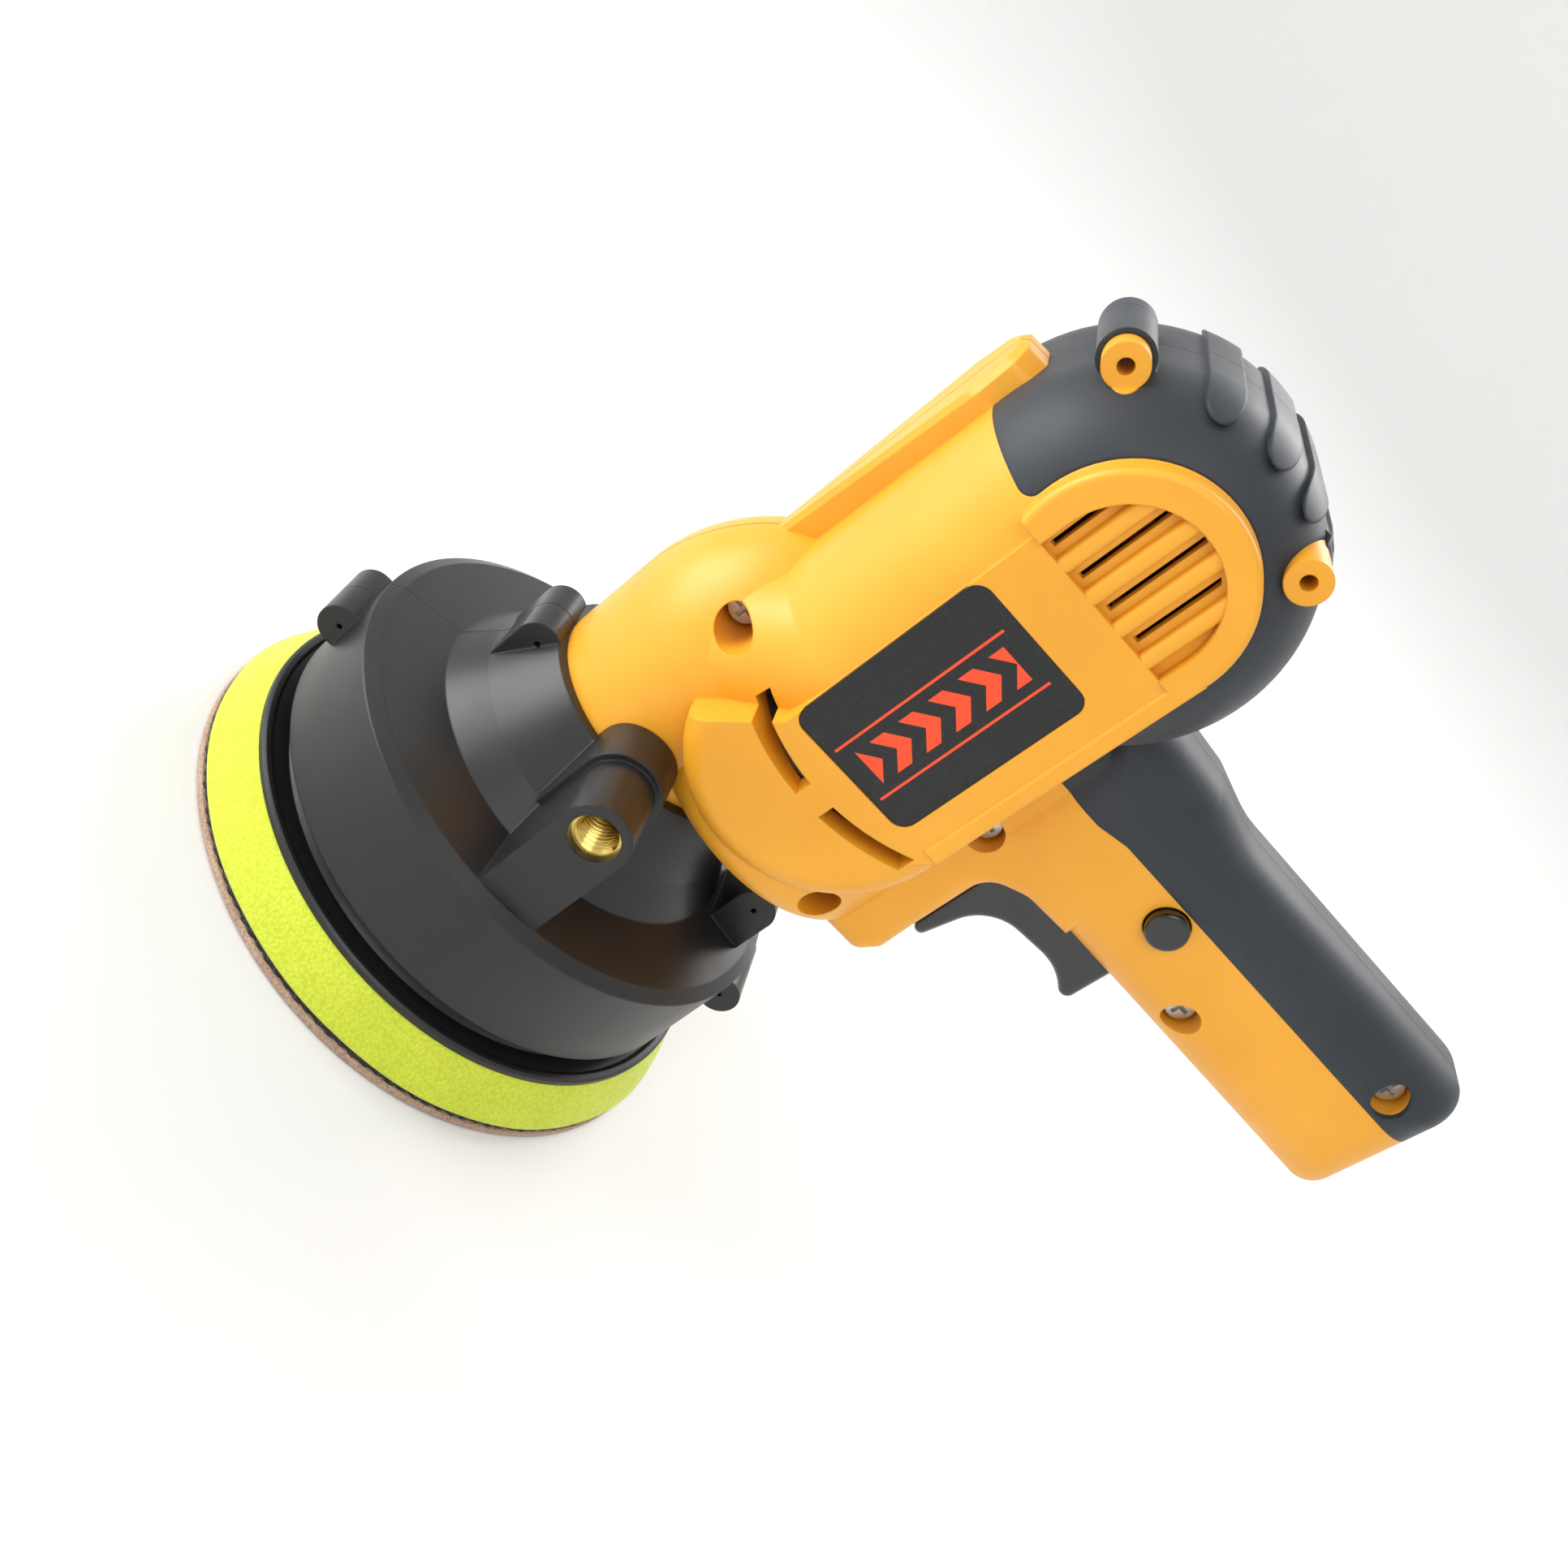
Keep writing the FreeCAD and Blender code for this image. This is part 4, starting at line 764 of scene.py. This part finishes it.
@dataclass
class Drive:
    """Spindle, gears, bearings and motor inside the body."""

    def dress(self) -> None:
        """Gives the drive's nodes their finishes."""
        dress(
            {
                "spindle": GROUND_STEEL,
                "spindle_circlip": SPRING_WIRE,
                "spindle_gear": GEAR_STEEL,
                "spindle_front_bearing": BEARING_STEEL,
                "spindle_rear_bearing": BEARING_STEEL,
                "motor_pinion": GEAR_STEEL,
                "armature_shaft": GROUND_STEEL,
                "armature_core": LAMINATED_STEEL,
                "armature_windings": COPPER_WIRE,
                "commutator": COPPER_BARS,
                "cooling_fan": LIGHTENED_FAN_NYLON,
                "armature_front_bearing": BEARING_STEEL,
                "armature_rear_bearing": BEARING_STEEL,
                "stator_core": LAMINATED_STEEL,
                "field_coils": COPPER_WIRE,
                "brush_holders": DRAWN_BRASS,
                "carbon_brushes": PRESSED_CARBON,
                "brush_springs": SPRING_WIRE,
            }
        )


@dataclass
class Controls:
    """Trigger, its spring, the switch and the lock button."""

    wire_r_mm: float = 0.3
    spring_turns: float = 2.2
    travel_mm: float = 6.0
    stem_x_mm: float = 86.0

    def spring(self) -> None:
        """Winds the trigger's spring, which rides on the trigger."""
        low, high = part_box("trigger_spring")
        centre = (low + high) / 2
        wire = self.wire_r_mm * MM
        stem_x = self.stem_x_mm * MM
        coil_r = stem_x - low.x - wire
        shape = bmesh.new()
        ring = bmesh.ops.create_circle(shape, cap_ends=False, segments=12, radius=wire)["verts"]
        upright = Matrix.Rotation(math.pi / 2, 4, "X")
        at = Matrix.Translation((stem_x + coil_r, centre.y, low.z + wire))
        bmesh.ops.transform(shape, matrix=at @ upright, verts=ring)
        pitch = (high.z - low.z - 2 * wire) / self.spring_turns
        wind(shape, ring + shape.edges[:], (stem_x, 0, 0), 2, pitch, self.spring_turns)
        piece = finished(shape, "coiled_spring", SPRING_WIRE, "trigger", "trigger_spring")
        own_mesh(piece)

    def build(self) -> None:
        """Makes the spring."""
        self.spring()

    def dress(self) -> None:
        """Gives the controls their finishes."""
        dress(
            {
                "trigger": GLOSSY_ABS,
                "switch_body": SWITCH_NYLON,
                "lock_button": GLOSSY_ABS,
            }
        )


@dataclass
class Studio:
    """Seamless pale card, soft lights and the camera."""

    eye: tuple[float, float, float] = (-0.06342, -0.29250, 0.23687)
    right: tuple[float, float, float] = (0.67082, 0.18418, 0.71839)
    down: tuple[float, float, float] = (0.69270, -0.50161, -0.51823)
    ahead: tuple[float, float, float] = (0.26491, 0.84526, -0.46407)
    lens_mm: float = 38.82
    floor_drop_mm: float = 0.3
    floor_r_mm: float = 900.0
    sweep_r_mm: float = 700.0
    wall_top_mm: float = 2200.0

    def camera(self) -> None:
        """Places the camera."""
        data = bpy.data.cameras.new("studio_camera")
        data.sensor_width = 36.0
        data.lens = self.lens_mm
        data.clip_start = 0.01
        camera = bpy.data.objects.new("studio_camera", data)
        turn = Matrix([self.right, -Vector(self.down), -Vector(self.ahead)]).transposed()
        camera.matrix_world = Matrix.Translation(self.eye) @ turn.to_4x4()
        bpy.context.scene.collection.objects.link(camera)
        bpy.context.scene.camera = camera

    def card(self) -> None:
        """Makes the floor, which sweeps up all round into a wall."""
        flat, sweep, drop = self.floor_r_mm, self.sweep_r_mm, self.floor_drop_mm
        profile = [(0.0, -drop), (flat, -drop)]
        for k in range(1, 13):
            angle = math.radians(90 * k / 12)
            profile.append((flat + sweep * math.sin(angle), sweep - drop - sweep * math.cos(angle)))
        profile.append((flat + sweep, self.wall_top_mm))
        shape = turned(profile, 96)
        bmesh.ops.recalc_face_normals(shape, faces=shape.faces)
        mesh = bpy.data.meshes.new("studio_card")
        shape.to_mesh(mesh)
        shape.free()
        mesh.shade_smooth()
        mesh.materials.append(STUDIO_CARD.material())
        card = bpy.data.objects.new("studio_card", mesh)
        bpy.context.scene.collection.objects.link(card)

    def lamp(self, name: str, along: tuple[float, float, float], size: float, watts: float) -> None:
        """Hangs one square softbox that looks at the body.

        Args:
            name: Name of the lamp.
            along: How far it is to the right, up and back towards the camera, in metres.
            size: Side of the softbox in metres.
            watts: Its power.
        """
        low, high = CAD_BOX
        target = (low + high) / 2
        across, up, back = along
        at = target + Vector(self.right) * across - Vector(self.down) * up - Vector(self.ahead) * back
        data = bpy.data.lights.new(name, "AREA")
        data.size = size
        data.energy = watts
        lamp = bpy.data.objects.new(name, data)
        turn = (target - at).to_track_quat("-Z", "Y").to_matrix().to_4x4()
        lamp.matrix_world = Matrix.Translation(at) @ turn
        bpy.context.scene.collection.objects.link(lamp)

    def sky(self) -> None:
        """Fills the shadows with even white light."""
        world = bpy.data.worlds.new("studio_air")
        world.use_nodes = True
        world.node_tree.nodes.clear()
        air = add(
            world.node_tree, "ShaderNodeBackground", {}, {"Color": linear("#FFFFFF"), "Strength": 0.72}
        )
        add(world.node_tree, "ShaderNodeOutputWorld", {}, {"Surface": air})
        bpy.context.scene.world = world

    def build(self) -> None:
        """Sets up the whole studio."""
        bpy.context.scene.view_settings.view_transform = "Standard"
        self.camera()
        self.card()
        self.lamp("key_softbox", (-0.55, 0.75, 0.35), 0.7, 10.0)
        self.lamp("front_softbox", (0.25, 0.15, 0.95), 0.6, 2.6)
        self.lamp("rim_softbox", (0.75, 0.45, -0.35), 0.5, 5.0)
        self.sky()


def main() -> None:
    """Builds and dresses every sub-assembly in order."""
    logging.basicConfig(level=logging.INFO, format="%(message)s")
    Studio().build()
    body, shroud, pad, drive, controls = Body(), Shroud(), Pad(), Drive(), Controls()
    body.dress()
    shroud.dress()
    shroud.build()
    pad.dress()
    pad.build()
    drive.dress()
    controls.dress()
    controls.build()


if __name__ == "__main__":
    main()
